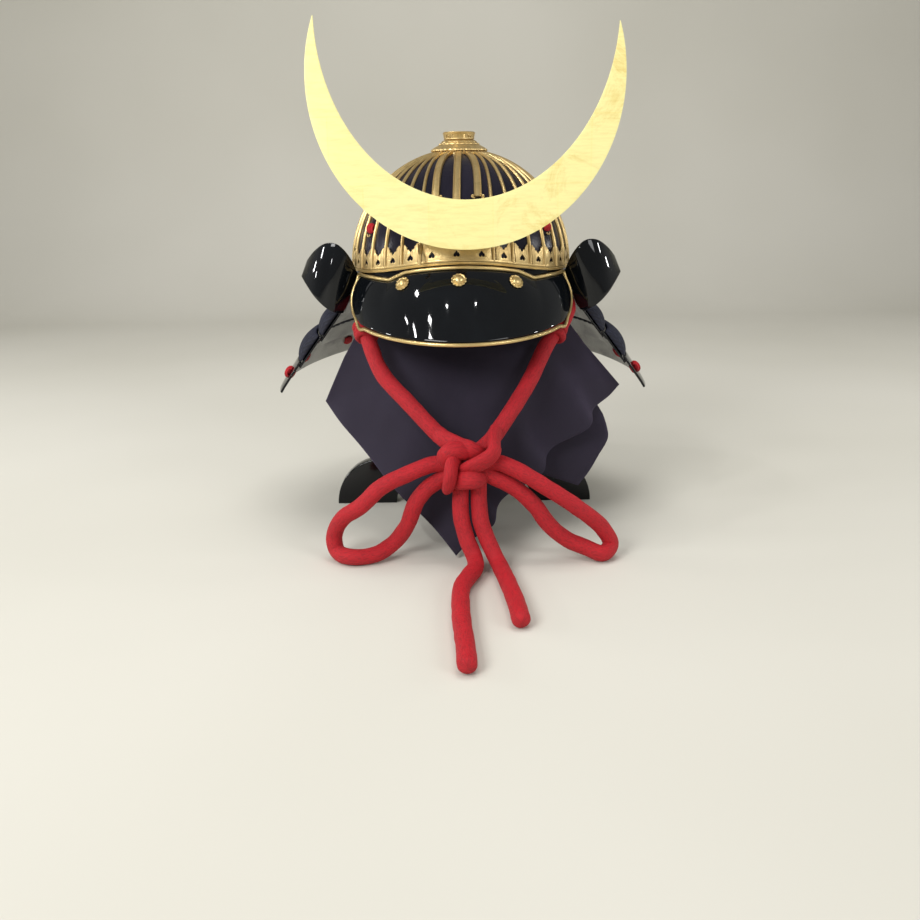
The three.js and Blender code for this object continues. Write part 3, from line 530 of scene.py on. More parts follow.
def new_group(name, inputs, outputs):
    """A node group with named inputs and outputs, each with its kind of socket and first value"""
    tree = bpy.data.node_groups.new(name, "ShaderNodeTree")
    for label, kind, value in inputs:
        socket = tree.interface.new_socket(label, in_out="INPUT", socket_type="NodeSocket" + kind)
        if value is not None:
            socket.default_value = value
    for label, kind in outputs:
        tree.interface.new_socket(label, in_out="OUTPUT", socket_type="NodeSocket" + kind)
    return tree, tree.nodes.new("NodeGroupInput").outputs, tree.nodes.new("NodeGroupOutput").inputs


def rgb(red, green, blue):
    """Colour from the usual 0 to 255 values"""
    linear = [c / 255 / 12.92 if c <= 10 else ((c / 255 + 0.055) / 1.055) ** 2.4
              for c in (red, green, blue)]
    return (*linear, 1)


def make_patina():
    """Cloudy change of colour and roughness with a fine grain"""
    tree, given, out = new_group("patina", (
        ("Vector", "Vector", None), ("Cloud Scale", "Float", 20.0), ("Grain Scale", "Float", 400.0),
        ("Colour", "Color", (0.5, 0.5, 0.5, 1)), ("Stain", "Color", (0.2, 0.2, 0.2, 1)),
        ("Stain Amount", "Float", 0.5), ("Roughness", "Float", 0.4), ("Roughness Spread", "Float", 0.1)),
        (("Colour", "Color"), ("Roughness", "Float"), ("Height", "Float")))
    cloud = noise_of(tree, given["Vector"], given["Cloud Scale"], 5.0, Roughness=0.62, Distortion=0.6)
    grain = noise_of(tree, given["Vector"], given["Grain Scale"], 3.0)
    stained = sum_of(tree, "MULTIPLY", spread_out(tree, cloud, 0.42, 0.7), given["Stain Amount"])
    speckled = sum_of(tree, "MULTIPLY", spread_out(tree, grain, 0.35, 0.75, 0.0, 0.35), given["Stain Amount"])
    share = sum_of(tree, "ADD", stained, speckled, clamped=True)
    tree.links.new(blended(tree, share, given["Colour"], given["Stain"]), out["Colour"])
    broad, fine = spread_out(tree, cloud, 0.3, 0.7, -1.0, 1.0), spread_out(tree, grain, 0.3, 0.7, -0.5, 0.5)
    both = sum_of(tree, "ADD", broad, fine)
    rough = sum_of(tree, "MULTIPLY_ADD", both, given["Roughness Spread"], given["Roughness"])
    tree.links.new(rough, out["Roughness"])
    tree.links.new(grain, out["Height"])
    return tree


def make_threads():
    """Fine crossing threads of a woven cloth, on a map in millimetres"""
    tree, given, out = new_group("threads", (
        ("Vector", "Vector", None), ("Pitch", "Float", 0.8), ("Slubs", "Float", 0.3)),
        (("Height", "Float"), ("Shade", "Float")))
    split = node(tree, "SeparateXYZ", {0: given["Vector"]}).outputs
    turns = sum_of(tree, "DIVIDE", 2 * pi, given["Pitch"])
    warp = sum_of(tree, "SINE", sum_of(tree, "MULTIPLY", split[0], turns))
    weft = sum_of(tree, "SINE", sum_of(tree, "MULTIPLY", split[1], turns))
    cross = sum_of(tree, "MULTIPLY", warp, weft)
    slub = noise_of(tree, given["Vector"], 0.35, 4.0)
    height = sum_of(tree, "MULTIPLY_ADD", slub, given["Slubs"], sum_of(tree, "MULTIPLY", cross, 0.5))
    tree.links.new(height, out["Height"])
    tree.links.new(spread_out(tree, height, -0.4, 0.7), out["Shade"])
    return tree


def make_crinkle():
    """Slanting crinkles of silk crepe round a cord, on a map in millimetres"""
    tree, given, out = new_group("crinkle", (
        ("Vector", "Vector", None), ("Pitch", "Float", 2.2), ("Slant", "Float", 0.5)),
        (("Height", "Float"), ("Shade", "Float")))
    turned = node(tree, "Mapping", {"Vector": given["Vector"], "Rotation": (0, 0, radians(52)),
                                    "Scale": (1.0, 0.32, 1.0)}).outputs[0]
    per_unit = sum_of(tree, "DIVIDE", 1.0, given["Pitch"])
    coarse = noise_of(tree, turned, per_unit, 3.0, Distortion=given["Slant"])
    fine = noise_of(tree, given["Vector"], 2.4, 3.0)
    ridge = sum_of(tree, "PINGPONG", sum_of(tree, "MULTIPLY", coarse, 3.0), 0.5)
    height = sum_of(tree, "MULTIPLY_ADD", fine, 0.35, ridge)
    tree.links.new(height, out["Height"])
    tree.links.new(spread_out(tree, height, 0.1, 0.7), out["Shade"])
    return tree


patina, threads, crinkle = make_patina(), make_threads(), make_crinkle()


def new_material(name, **sockets):
    """A material and its shader, with the constant values set on the shader's own sockets"""
    material = bpy.data.materials.new(name)
    material.use_nodes = True
    tree = material.node_tree
    shader = tree.nodes["Principled BSDF"]
    for key, value in sockets.items():
        shader.inputs[key.replace("_", " ")].default_value = value
    return material, tree, shader


def surface_coords(tree, mapped_uv=False):
    return node(tree, "TexCoord").outputs["UV" if mapped_uv else "Object"]


def set_bump(tree, shader, height, strength, distance):
    bump = node(tree, "Bump", {"Height": height, "Strength": strength, "Distance": distance})
    tree.links.new(bump.outputs[0], shader.inputs["Normal"])


def aged(name, colours, amount, roughness, spread, scales, **sockets):
    """A material with the patina. colours: its own and the stain's; scales: the clouds' and the grain's"""
    material, tree, shader = new_material(name, **sockets)
    seen = node(tree, "Group", {
        "Vector": surface_coords(tree), "Cloud Scale": scales[0], "Grain Scale": scales[1],
        "Colour": colours[0], "Stain": colours[1], "Stain Amount": amount,
        "Roughness": roughness, "Roughness Spread": spread},
        node_tree=patina).outputs
    tree.links.new(seen["Colour"], shader.inputs["Base Color"])
    tree.links.new(seen["Roughness"], shader.inputs["Roughness"])
    return material, tree, shader, seen["Height"]


def make_lacquer(name, colours, roughness, ior):
    material, tree, shader, _ = aged(name, colours, 0.5, roughness, 0.015, (14.0, 900.0), IOR=ior)
    set_bump(tree, shader, noise_of(tree, surface_coords(tree), 34.0, 1.0), 0.12, 0.0012)
    return material


def make_gilt(name, colours, amount, roughness):
    material, tree, shader, grain = aged(name, colours, amount, roughness, 0.07, (55.0, 1400.0), Metallic=0.9)
    set_bump(tree, shader, grain, 0.25, 0.0003)
    return material


def make_leaf():
    """Gold leaf laid in squares and brushed down, worn a little at the laps, with smudges and a painted shade
    that make it darker and more orange towards its right side
    """
    material, tree, shader = new_material("brushed_gold_leaf", Metallic=0.2)
    place = surface_coords(tree)
    brushed = node(tree, "Mapping", {"Vector": place, "Rotation": (0, radians(24), 0),
                                     "Scale": (10, 10, 70)}).outputs[0]
    strokes = noise_of(tree, brushed, 4.0, 5.0, Roughness=0.7)
    smudge = noise_of(tree, place, 16.0, 6.0, Roughness=0.68, Distortion=1.4)
    squares = node(tree, "TexBrick", {
        "Vector": node(tree, "Mapping", {"Vector": place, "Rotation": (radians(90), 0, 0)}).outputs[0],
        "Color1": (0.2, 0.2, 0.2, 1), "Color2": (0.8, 0.8, 0.8, 1), "Mortar": (1, 1, 1, 1), "Scale": 9.0,
        "Mortar Size": 0.006, "Mortar Smooth": 0.4, "Brick Width": 0.5, "Row Height": 0.5}).outputs["Color"]
    # Painted shade: the smudges count four times as much on the crest's right as on its left, so the leaf
    # turns darker and more orange to the right, where less light falls
    side = node(tree, "SeparateXYZ", {0: place}).outputs[0]
    shaded_side_share = spread_out(tree, side, -0.03, 0.06, 0.25, 1.0)
    smudges_and_painted_shade = sum_of(tree, "MULTIPLY", spread_out(tree, smudge, 0.5, 0.72), shaded_side_share)
    faint = sum_of(tree, "MULTIPLY", spread_out(tree, strokes, 0.45, 0.8), 0.45)
    share = sum_of(tree, "ADD", smudges_and_painted_shade, faint, clamped=True)
    leaf = blended(tree, squares, rgb(255, 247, 178), rgb(254, 243, 166))
    tree.links.new(blended(tree, share, leaf, rgb(228, 199, 110)), shader.inputs["Base Color"])
    tree.links.new(spread_out(tree, share, 0.0, 1.0, 0.42, 0.56), shader.inputs["Roughness"])
    set_bump(tree, shader, strokes, 0.12, 0.0005)
    return material


def make_silver():
    colours = (rgb(168, 168, 166), rgb(112, 112, 114))
    material, tree, shader, grain = aged("silvered_inside", colours, 0.55, 0.46, 0.08, (30.0, 700.0),
                                         Metallic=0.35)
    set_bump(tree, shader, grain, 0.2, 0.0003)
    return material


def make_braid():
    """Flat silk braid whose strands meet in a row of chevrons, on a map of one braid to a unit"""
    material, tree, shader = new_material("navy_braid", Sheen_Weight=0.1, Sheen_Roughness=0.4,
                                          Sheen_Tint=rgb(120, 130, 190))
    split = node(tree, "SeparateXYZ", {0: surface_coords(tree, True)}).outputs
    across = sum_of(tree, "PINGPONG", split[0], 0.5)
    slope = sum_of(tree, "MULTIPLY_ADD", across, 4.2, split[1])
    strand = sum_of(tree, "PINGPONG", sum_of(tree, "MULTIPLY", slope, 0.62), 0.5)
    hair = noise_of(tree, surface_coords(tree, True), 7.0, 3.0)
    glint = sum_of(tree, "MULTIPLY", spread_out(tree, strand, 0.3, 0.5), spread_out(tree, hair, 0.45, 0.7))
    tree.links.new(blended(tree, glint, rgb(9, 11, 27), rgb(38, 45, 78)), shader.inputs["Base Color"])
    tree.links.new(spread_out(tree, glint, 0.0, 1.0, 0.75, 0.5), shader.inputs["Roughness"])
    set_bump(tree, shader, sum_of(tree, "MULTIPLY_ADD", hair, 0.25, strand), 0.7, 0.0007)
    return material


def make_crepe(name, pitch, strength):
    material, tree, shader = new_material(name, Roughness=0.74, Sheen_Weight=0.08, Sheen_Roughness=0.5,
                                          Sheen_Tint=rgb(255, 120, 120))
    place = surface_coords(tree, True)
    seen = node(tree, "Group", {"Vector": place, "Pitch": pitch}, node_tree=crinkle).outputs
    cloud = noise_of(tree, surface_coords(tree), 60.0, 3.0)
    red = blended(tree, seen["Shade"], rgb(138, 6, 20), rgb(186, 13, 29))
    share = sum_of(tree, "MULTIPLY", spread_out(tree, cloud, 0.4, 0.75), 0.3)
    tree.links.new(blended(tree, share, red, rgb(146, 6, 22)), shader.inputs["Base Color"])
    set_bump(tree, shader, seen["Height"], strength, 0.0011)
    return material


def make_cloth_material():
    material, tree, shader = new_material("purple_cloth", Roughness=0.9, Sheen_Weight=0.25,
                                          Sheen_Roughness=0.5, Sheen_Tint=rgb(140, 120, 170))
    place = surface_coords(tree, True)
    seen = node(tree, "Group", {"Vector": place, "Pitch": 0.9}, node_tree=threads).outputs
    cloud = noise_of(tree, surface_coords(tree), 22.0, 5.0)
    purple = blended(tree, seen["Shade"], rgb(20, 16, 27), rgb(38, 31, 49))
    share = sum_of(tree, "MULTIPLY", spread_out(tree, cloud, 0.4, 0.7), 0.4)
    tree.links.new(blended(tree, share, purple, rgb(40, 32, 50)), shader.inputs["Base Color"])
    set_bump(tree, shader, seen["Height"], 0.5, 0.0004)
    return material


lacquer = make_lacquer("black_lacquer", (rgb(8, 10, 13), rgb(17, 20, 24)), 0.04, 1.4)
stand_lacquer = make_lacquer("stand_lacquer", (rgb(7, 7, 9), rgb(16, 16, 20)), 0.1, 1.4)
bowl_lacquer = make_lacquer("bowl_lacquer", (rgb(23, 21, 31), rgb(40, 36, 50)), 0.24, 1.25)
gilt = make_gilt("satin_gilt", (rgb(230, 202, 142), rgb(150, 120, 70)), 0.5, 0.4)
edging_gilt = make_gilt("edging_gilt", (rgb(226, 200, 140), rgb(162, 130, 76)), 0.4, 0.36)
leaf_gold, silver, braid = make_leaf(), make_silver(), make_braid()
crepe, knot_silk = make_crepe("red_crepe", 1.5, 0.55), make_crepe("red_knot_silk", 0.9, 0.6)
cloth_look = make_cloth_material()


# Camera and cords

camera_data = bpy.data.cameras.new("camera")
camera_data.lens = CAMERA_LENS
camera_data.sensor_width = 36
camera = bpy.data.objects.new("camera", camera_data)
camera.matrix_world = (Matrix.Translation(CAMERA_PLACE)
                       @ Matrix.Rotation(radians(90 - CAMERA_TILT), 4, "X")
                       @ Matrix.Rotation(radians(CAMERA_ROLL), 4, "Z"))
bpy.context.collection.objects.link(camera)
bpy.context.scene.camera = camera


def padded_section(half_width, half_depth, seed):
    """Oval section of a padded crepe cord, with shallow creases that wind round it"""
    def section(angle, share):
        crease = sin(angle * 2 + share * seed) * 0.5 + sin(angle * 3 - share * seed * 1.7) * 0.5
        swell = 1 + 0.02 * crease + 0.03 * noise.noise(Vector((share * seed * 0.45, half_width, seed)))
        return half_width * cos(angle) * swell, half_depth * sin(angle) * swell
    return section


def rounded_end(section, reach):
    """Closes a section to a soft tip over the last share of the way"""
    def tapered(angle, share):
        a, b = section(angle, share)
        rest = clamp((1 - share) / reach)
        narrow = math.sqrt(1 - (1 - rest) ** 2) if rest < 1 else 1
        return a * max(narrow, 0.05), b * max(narrow, 0.05)
    return tapered


def make_knot():
    """The knot of the chin cord: strands that wrap over and under each other"""
    bm = new_mesh()
    for half_width, half_depth, left, route in KNOT_STRANDS:
        full = padded_section(half_width, half_depth, 24)

        def narrowed(angle, share):
            a, b = full(angle, share)
            fine = 1 + 0.011 * sin(17 * angle + 2 * sin(9 * share))
            kept = lerp(1, left, smoothstep(share, 0.45, 1)) * fine
            return a * kept, b * kept

        tube(bm, curve(route, 44), narrowed, 68, side=(0, 0.2, 1))
    close_up(bm)
    return settle("cord_knot", bm, crepe, ["cord_tie"], crease=60)


knot = make_knot()
for name, route in CORD_ROUTES.items():
    total = length_of(curve(route, 300))
    line = curve(route, round(total / 2.4))
    bm = new_mesh()
    section = padded_section(CORD_RADIUS, CORD_RADIUS, total / 5)
    far_end = CORD_FACTS[name][1]
    if far_end == "bare":
        section = rounded_end(section, 6 / total)
    tube(bm, line, section, 22)
    close_up(bm)
    cord = settle(name + "_crepe", bm, crepe, [name], crease=60)
    path = [TO_FRAME @ point for point in line]
    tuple(path[0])


# Side, middle and direction of the turns of cord round the chin cord
WRAPS = (("left", (-92.5, -82, 199), (-12, 34, 32)), ("right", (89.5, -81, 198), (12, 34, 32)))


def make_cord_wraps():
    """Turns of cord that bind the chin cord behind the visor's lower corners"""
    for name, middle, along in WRAPS:
        bm = new_mesh()
        along = Vector(along).normalized()
        for step, lean in ((-4.4, 0.25), (1.6, -0.1), (6.4, 0.18)):
            axis = (along + Vector((lean, 0, 0.2 * lean))).normalized()
            right = axis.orthogonal().normalized()
            up = axis.cross(right)
            ring = [Vector(middle) + along * step + (right * cos(t) + up * sin(t)) * 8.2
                    for t in (2 * pi * k / 40 for k in range(41))]
            tube(bm, ring, padded_section(3.8, 3.2, 20), 12, closed=True, side=axis)
        weld(bm)
        face_outwards(bm)
        settle("cord_wrap_" + name, bm, knot_silk, crease=60)


make_cord_wraps()


# Bowl, ribs and border

def make_bowl():
    bm = new_mesh()
    top = math.acos(CROWN_HOLE / HALF_WIDTH)
    angles = [top * k / 28 for k in range(29)]
    outer = [(HALF_WIDTH * cos(a), RIM + RISE * sin(a)) for a in angles]
    inside = HALF_WIDTH - BOWL_WALL
    inner = [(inside * cos(a), RIM + (RISE - BOWL_WALL) * sin(a)) for a in reversed(angles)]
    spun(bm, outer + inner, 128)
    bmesh.ops.scale(bm, vec=(1, HALF_DEPTH / HALF_WIDTH, 1), verts=bm.verts)
    return settle("bowl_shell", bm, bowl_lacquer, ["bowl"])


def ridge(bm, turn_at, heights, width_at, profile):
    """A ridge down the bowl. profile: points across it, as shares of half its width, and its relief"""
    steps = len(heights) - 1
    sides = len(profile)

    def place(u, v):
        height = heights[round(v * steps)]
        side, rise = profile[round(u * sides) % sides]
        turn = turn_at(height)
        across = (shell(turn + 0.01, height, GAP) - shell(turn - 0.01, height, GAP)).normalized()
        return shell(turn, height, GAP + rise) + across * (side * width_at(height) / 2)

    return mapped(bm, sides, steps, place)


def make_ribs():
    bm = new_mesh()
    arch = [(-cos(pi * k / 6), RIB_RELIEF * sin(pi * k / 6) ** 0.8) for k in range(1, 6)]
    profile = [(-1.25, -0.1), (-1.25, 0.35), *arch, (1.25, 0.35), (1.25, -0.1)]
    for k in range(RIB_COUNT):
        heights = dome_heights(RIB_TOP_HEIGHT, rim_at(rib_turn(k, RIM)) + 0.2, 30)
        ridge(bm, lambda height: rib_turn(k, height), heights,
              lambda height: RIB_WIDTH * lerp(0.72, 0.92, dome_share(height)), profile)
        close_up(bm)
    ring = [(RIB_TOP - 1.2, RIB_TOP_HEIGHT - 0.4), (RIB_TOP + 2.4, RIB_TOP_HEIGHT - 1.2),
            (RIB_TOP + 2.4, RIB_TOP_HEIGHT + 1.2), (RIB_TOP - 1.2, RIB_TOP_HEIGHT + 2)]
    collar = bmesh.new()
    spun(collar, ring, 96)
    joined(bm, collar, lambda p: Vector((p.x, p.y * HALF_DEPTH / HALF_WIDTH, p.z)))
    collar.free()
    return settle("gilt_ribs", bm, gilt, ["rib_cage"], crease=50)


def leaf_curl(bm, base, across, up, normal, side):
    """A small curled leaf that springs from a bar's edge"""
    route = ((0, 0), (1.3, 0.3), (2.3, 1.4), (2.4, 2.7), (1.5, 3.3), (0.8, 2.7), (1.1, 2.0))
    line = curve([base + across * (side * x) + up * y + normal * 1.0 for x, y in route], 26)

    def taper(angle, share):
        radius = lerp(0.9, 0.5, share)
        return radius * cos(angle), radius * sin(angle)

    tube(bm, line, taper, 8)
    bmesh.ops.create_icosphere(bm, subdivisions=2, radius=0.7, matrix=Matrix.Translation(line[-1]))


def make_bar(side):
    def offset(height):
        down = clamp((dome_share(height) - RIB_TOP / HALF_WIDTH) / (1 - RIB_TOP / HALF_WIDTH))
        return side * lerp(BAR_LOW_OFFSET, BAR_TOP_OFFSET, (1 - down) ** 3.5)

    def turn_at(height):
        return radians(BOWL_TURN) + math.asin(offset(height) / (HALF_WIDTH * dome_share(height)))

    def width_at(height):
        return BAR_WIDTH * lerp(0.75, 1, dome_share(height))

    name = {-1: "left", 0: "middle", 1: "right"}[side]
    lift = BAR_RELIEF
    left, right = (1.0, 0.82) if side >= 0 else (0.82, 1.0)
    profile = [(-1, 0), (-1, 0.62 * lift), (-0.9, lift * left), (-0.74, lift * left), (-0.66, 0.62 * lift),
               (-0.3, 0.7 * lift), (0, 0.73 * lift), (0.3, 0.7 * lift), (0.66, 0.62 * lift),
               (0.74, lift * right), (0.9, lift * right), (1, 0.62 * lift), (1, 0)]
    bottom = SIDE_BAR_BOTTOM if side else rim_at(radians(BOWL_TURN)) + BORDER_HEIGHT + GAP
    bm = new_mesh()
    ridge(bm, turn_at, dome_heights(RIB_TOP_HEIGHT, bottom, 34), width_at, profile)
    close_up(bm)
    if side:
        height = bottom + 0.5
        turn = turn_at(height)
        middle = shell(turn, height, GAP)
        across = (shell(turn + 0.01, height, 0) - shell(turn - 0.01, height, 0)).normalized()
        up = (shell(turn, height + 1, 0) - shell(turn, height - 1, 0)).normalized()
        normal = outward(shell, turn, height)
        for edge in (-1, 1):
            base = middle + across * (edge * width_at(height) / 2.3) - up * 2.2
            leaf_curl(bm, base, across, up, normal, edge)
        close_up(bm)
    return settle("gilt_bar_" + name, bm, gilt, ["front_bar_" + name], crease=40)


def heart_outline(middle, points=22):
    """A boar's-eye heart, its point upwards"""
    outline = []
    for k in range(points):
        t = 2 * pi * k / points
        x = 16 * sin(t) ** 3
        y = -(13 * cos(t) - 5 * cos(2 * t) - 2 * cos(3 * t) - cos(4 * t))
        outline.append((middle + x / 32 * HEART_WIDTH, HEART_MIDDLE + (y - 2.5) / 29 * HEART_HEIGHT))
    return outline


def plate_outline(width, notched=True):
    """Upright sides, high shoulders and a cusped notch in the middle of the top"""
    half, top = width / 2, BORDER_HEIGHT
    steps = ((1, 1), (0.84, 1), (0.7, 0.93), (0.6, 0.88), (0.5, 0.86), (0.54, 0.81), (0.46, 0.76),
             (0.34, 0.735), (0.24, 0.75), (0.2, 0.7), (0.1, 0.65), (0, 0.61))
    right = [(half * x, top * y) for x, y in steps]
    if not notched:
        right = [(half, top), (0, top)]
    left = [(-x, y) for x, y in reversed(right[:-1])]
    return [(-half, 0.4), (half, 0.4), *right, *left]


def make_border():
    arc = (HALF_WIDTH + HALF_DEPTH) / 2
    bm = new_mesh()

    def bend(template, middle):
        def place(p):
            turn = middle + p.x / arc
            return shell(turn, rim_at(turn) + p.y, GAP + 0.1 + 0.55 + p.z)
        joined(bm, template, place)

    width = radians(RIB_PITCH) * arc - RIB_WIDTH - 1.5
    plate = flat_shape([plate_outline(width), heart_outline(0)], 1.1, 0.16)
    cut_columns(plate, [width * share for share in (-0.25, 0, 0.25)])
    for k in range(RIB_COUNT - 1):
        bend(plate, rib_turn(k + 0.5, RIM))
    plate.free()
    wide = radians(2 * PANEL_HALF) * arc - RIB_WIDTH - 1.5
    step = radians(2 * PANEL_HALF) * arc / 3
    hearts = [heart_outline(step * k) for k in (-1, 0, 1)]
    panel = flat_shape([plate_outline(wide, False), *hearts], 1.1, 0.16)
    cut_columns(panel, [wide * (k / 16 - 0.5) for k in range(1, 16)])
    bend(panel, radians(BOWL_TURN))
    panel.free()
    # The plates' foot, a low band all round
    foot = ((0.2, 0.0), (1.5, 0.0), (1.7, 0.8), (1.5, 1.7), (0.2, 1.7))

    def band(u, v):
        turn = 2 * pi * u
        out, up = foot[round(v * len(foot)) % len(foot)]
        return shell(turn, rim_at(turn) + up, GAP + out)

    ring = new_mesh()
    mapped(ring, 180, len(foot), band)
    close_up(ring)
    joined(bm, ring, lambda p: p.copy())
    ring.free()
    return settle("border_plates", bm, gilt, ["border"], crease=35)


def make_bead():
    """The double bead under the border"""
    section = ((-1.1, -1.1), (0.2, -1.35), (0.95, -1.05), (1.15, -0.55), (0.7, -0.1), (1.0, 0.35),
               (1.15, 0.75), (0.8, 1.15), (0.1, 1.3), (-1.1, 1.1))

    def place(u, v):
        turn = 2 * pi * u
        out, up = section[round(v * len(section)) % len(section)]
        return shell(turn, rim_at(turn) - GAP - BEAD_RADIUS + up, GAP + FACET_ROOM + BEAD_RADIUS + out)

    bm = new_mesh()
    mapped(bm, 200, len(section), place)
    close_up(bm)
    return settle("border_double_bead", bm, edging_gilt, ["border_bead"], crease=50)


def make_crown():
    """Tiered crown: pearled collar, petalled tiers and an openwork ring"""
    base = dome_height(RIB_TOP / HALF_DEPTH) + 2 * GAP + BAR_RELIEF
    under = dome_height(CROWN_HOLE / HALF_DEPTH) + GAP
    seat = HALF_WIDTH * dome_share(RIB_TOP_HEIGHT + GAP) - GAP
    tier = base + 1.5
    bm = new_mesh()

    def petalled(rings, petals, depth):
        """Rings of radius, height and share of the petals' depth, joined into one skin"""
        def place(u, v):
            radius, height, share = rings[round(v * (len(rings) - 1))]
            lobe = abs(sin(petals * pi * u)) ** 0.6
            radius -= depth * share * (1 - lobe)
            return Vector((radius * cos(2 * pi * u), radius * sin(2 * pi * u), height))
        mapped(bm, petals * 8, len(rings) - 1, place)

    petalled([(7, under, 0), (9, under, 0), (seat, dome_height(seat / HALF_DEPTH) + GAP, 0),
              (seat, base + 0.3, 0), (27.2, base - 1.1, 1), (28, base - 0.8, 1), (27.8, base + 0.4, 1),
              (24.6, base + 2.4, 0.7),
              (21.2, tier + 2.6, 0.3), (20.0, tier + 3.6, 0)], 28, 1.0)
    petalled([(19.6, tier + 3.2, 0), (20.4, tier + 3.5, 1), (20.3, tier + 4.3, 1), (18.6, tier + 5.0, 0.5),
              (17.6, tier + 5.3, 0), (17.7, tier + 5.9, 0.6), (16.8, tier + 6.8, 0.6), (15.0, tier + 7.7, 0),
              (13.4, tier + 8.1, 0), (13.4, tier + 8.5, 0), (7, tier + 8.5, 0), (7, under, 0)], 18, 0.8)
    weld(bm)
    face_outwards(bm)
    for k in range(PEARLS):
        turn = 2 * pi * (k + 0.5) / PEARLS
        at = Matrix.Translation((27.2 * cos(turn), 27.2 * sin(turn), base - 0.7))
        bmesh.ops.create_icosphere(bm, subdivisions=1, radius=1.0, matrix=at)
    ring_base, ring_top = tier + 8.1, tier + 14.8
    wall = new_mesh()
    levels = (0, 1.0, 1.6, 4.8, 5.4, 6.7)
    radii = (13.9, 13.6, 13.7, 14.2, 14.4, 14.9)

    def ring(u, v):
        k = round(v * (len(levels) - 1))
        return Vector((radii[k] * cos(2 * pi * u), radii[k] * sin(2 * pi * u), ring_base + levels[k]))

    mapped(wall, CROWN_COLUMNS, len(levels) - 1, ring)
    weld(wall)
    slots = []
    for face in wall.faces:
        middle = face.calc_center_median()
        column = int((math.atan2(middle.y, middle.x) / (2 * pi) % 1) * CROWN_COLUMNS)
        if column % 16 in (0, 2, 4, 6) and 1.6 < middle.z - ring_base < 4.8:
            slots.append(face)
    bmesh.ops.delete(wall, geom=slots, context="FACES")
    face_outwards(wall)
    bmesh.ops.solidify(wall, geom=wall.faces, thickness=1.3)
    face_outwards(wall)
    joined(bm, wall, lambda p: p.copy())
    wall.free()
    for radius, height in ((14.9, ring_top), (14.2, ring_base + 0.6)):
        turns = [2 * pi * k / CROWN_COLUMNS for k in range(CROWN_COLUMNS + 1)]
        line = [Vector((radius * cos(t), radius * sin(t), height)) for t in turns]
        tube(bm, line, wire(0.55), 6, closed=True, side=(1, 0, 0))
    weld(bm, 1e-4)
    return settle("gilt_crown", bm, gilt, ["crown_ornament"], crease=42)


def make_band():
    bm = new_mesh()
    top = RIM - GAP
    low = top - BAND_HEIGHT
    inner, outer = HALF_WIDTH - BAND_WALL, HALF_WIDTH
    spun(bm, [(inner, low + 0.6), (inner + 0.6, low), (outer - 0.6, low), (outer, low + 0.6),
              (outer, top - 0.3), (outer - 0.3, top), (inner + 0.3, top), (inner, top - 0.3)], 128)
    for vert in bm.verts:
        share = (math.hypot(vert.co.x, vert.co.y) - inner) / (outer - inner)
        vert.co.y *= lerp((HALF_DEPTH - BAND_WALL) / inner, HALF_DEPTH / outer, share)
    return settle("waist_band_lacquer", bm, lacquer, ["waist_band"])


def silk_knot(bm, matrix, strands=5, long=11.0, wide=8.0, rise=4.2):
    """Strands of silk laid side by side over a surface, the middle ones longest"""
    pitch = long / strands
    core = Matrix.Diagonal((long * 0.47, wide * 0.46, rise * 0.62, 1))
    bmesh.ops.create_icosphere(bm, subdivisions=2, radius=1,
                               matrix=matrix @ Matrix.Translation((0, 0, rise * 0.3)) @ core)
    for k in range(strands):
        side = (k - (strands - 1) / 2) * pitch
        reach = wide / 2 * math.sqrt(max(0.12, 1 - (side / (long * 0.56)) ** 2))
        high = rise * math.sqrt(max(0.2, 1 - (side / (long * 0.6)) ** 2)) - pitch * 0.45
        points = [(side + 0.35 * pitch * cos(t), -reach * cos(t), max(high, 0.5) * sin(t)) for t in
                  (0, pi * 0.22, pi * 0.5, pi * 0.78, pi)]
        line = [matrix @ p for p in curve(points, 10)]
        tube(bm, line, wire(pitch * 0.58), 8)


def facing(at, normal, up=(0, 0, 1)):
    """Frame on a surface: x along it, y up it, z out of it"""
    across = Vector(up).cross(normal).normalized()
    rise = normal.cross(across)
    return Matrix.Translation(at) @ Matrix((across, rise, normal)).transposed().to_4x4()


def make_bowl_knots():
    for n, k in enumerate(BOWL_KNOT_GAPS):
        turn = (rib_turn(k, BOWL_KNOT_LEVEL) + rib_turn(k + 1, BOWL_KNOT_LEVEL)) / 2
        at = shell(turn, BOWL_KNOT_LEVEL, GAP)
        normal = outward(shell, turn, BOWL_KNOT_LEVEL)
        frame_of = facing(at, normal)
        bm = new_mesh()
        silk_knot(bm, frame_of)
        close_up(bm)
        settle(f"bowl_silk_knot_{n + 1}", bm, knot_silk, [f"bowl_knot_{n + 1}"], crease=60)
        bm = new_mesh()
        line = [frame_of @ Vector((2.6 * cos(t), -6.2 + 1.7 * sin(t), 0.9)) for t in
                (pi + pi * j / 12 for j in range(13))]
        tube(bm, line, wire(0.75), 8)
        close_up(bm)
        settle(f"bowl_knot_loop_{n + 1}", bm, gilt, crease=60)


make_bowl()
make_ribs()
for bar_side in (-1, 0, 1):
    make_bar(bar_side)
make_border()
make_bead()
make_crown()
make_band()
make_bowl_knots()


# Visor

def make_visor():
    bm = new_mesh()
    mapped(bm, 96, 28, lambda u, v: visor_point(2 * u - 1, 1 - v), (230, 60))
    piece = settle("visor_lacquer", bm, lacquer, ["visor"], crease=60)
    soften(thicken(piece, VISOR_WALL), 0.5)


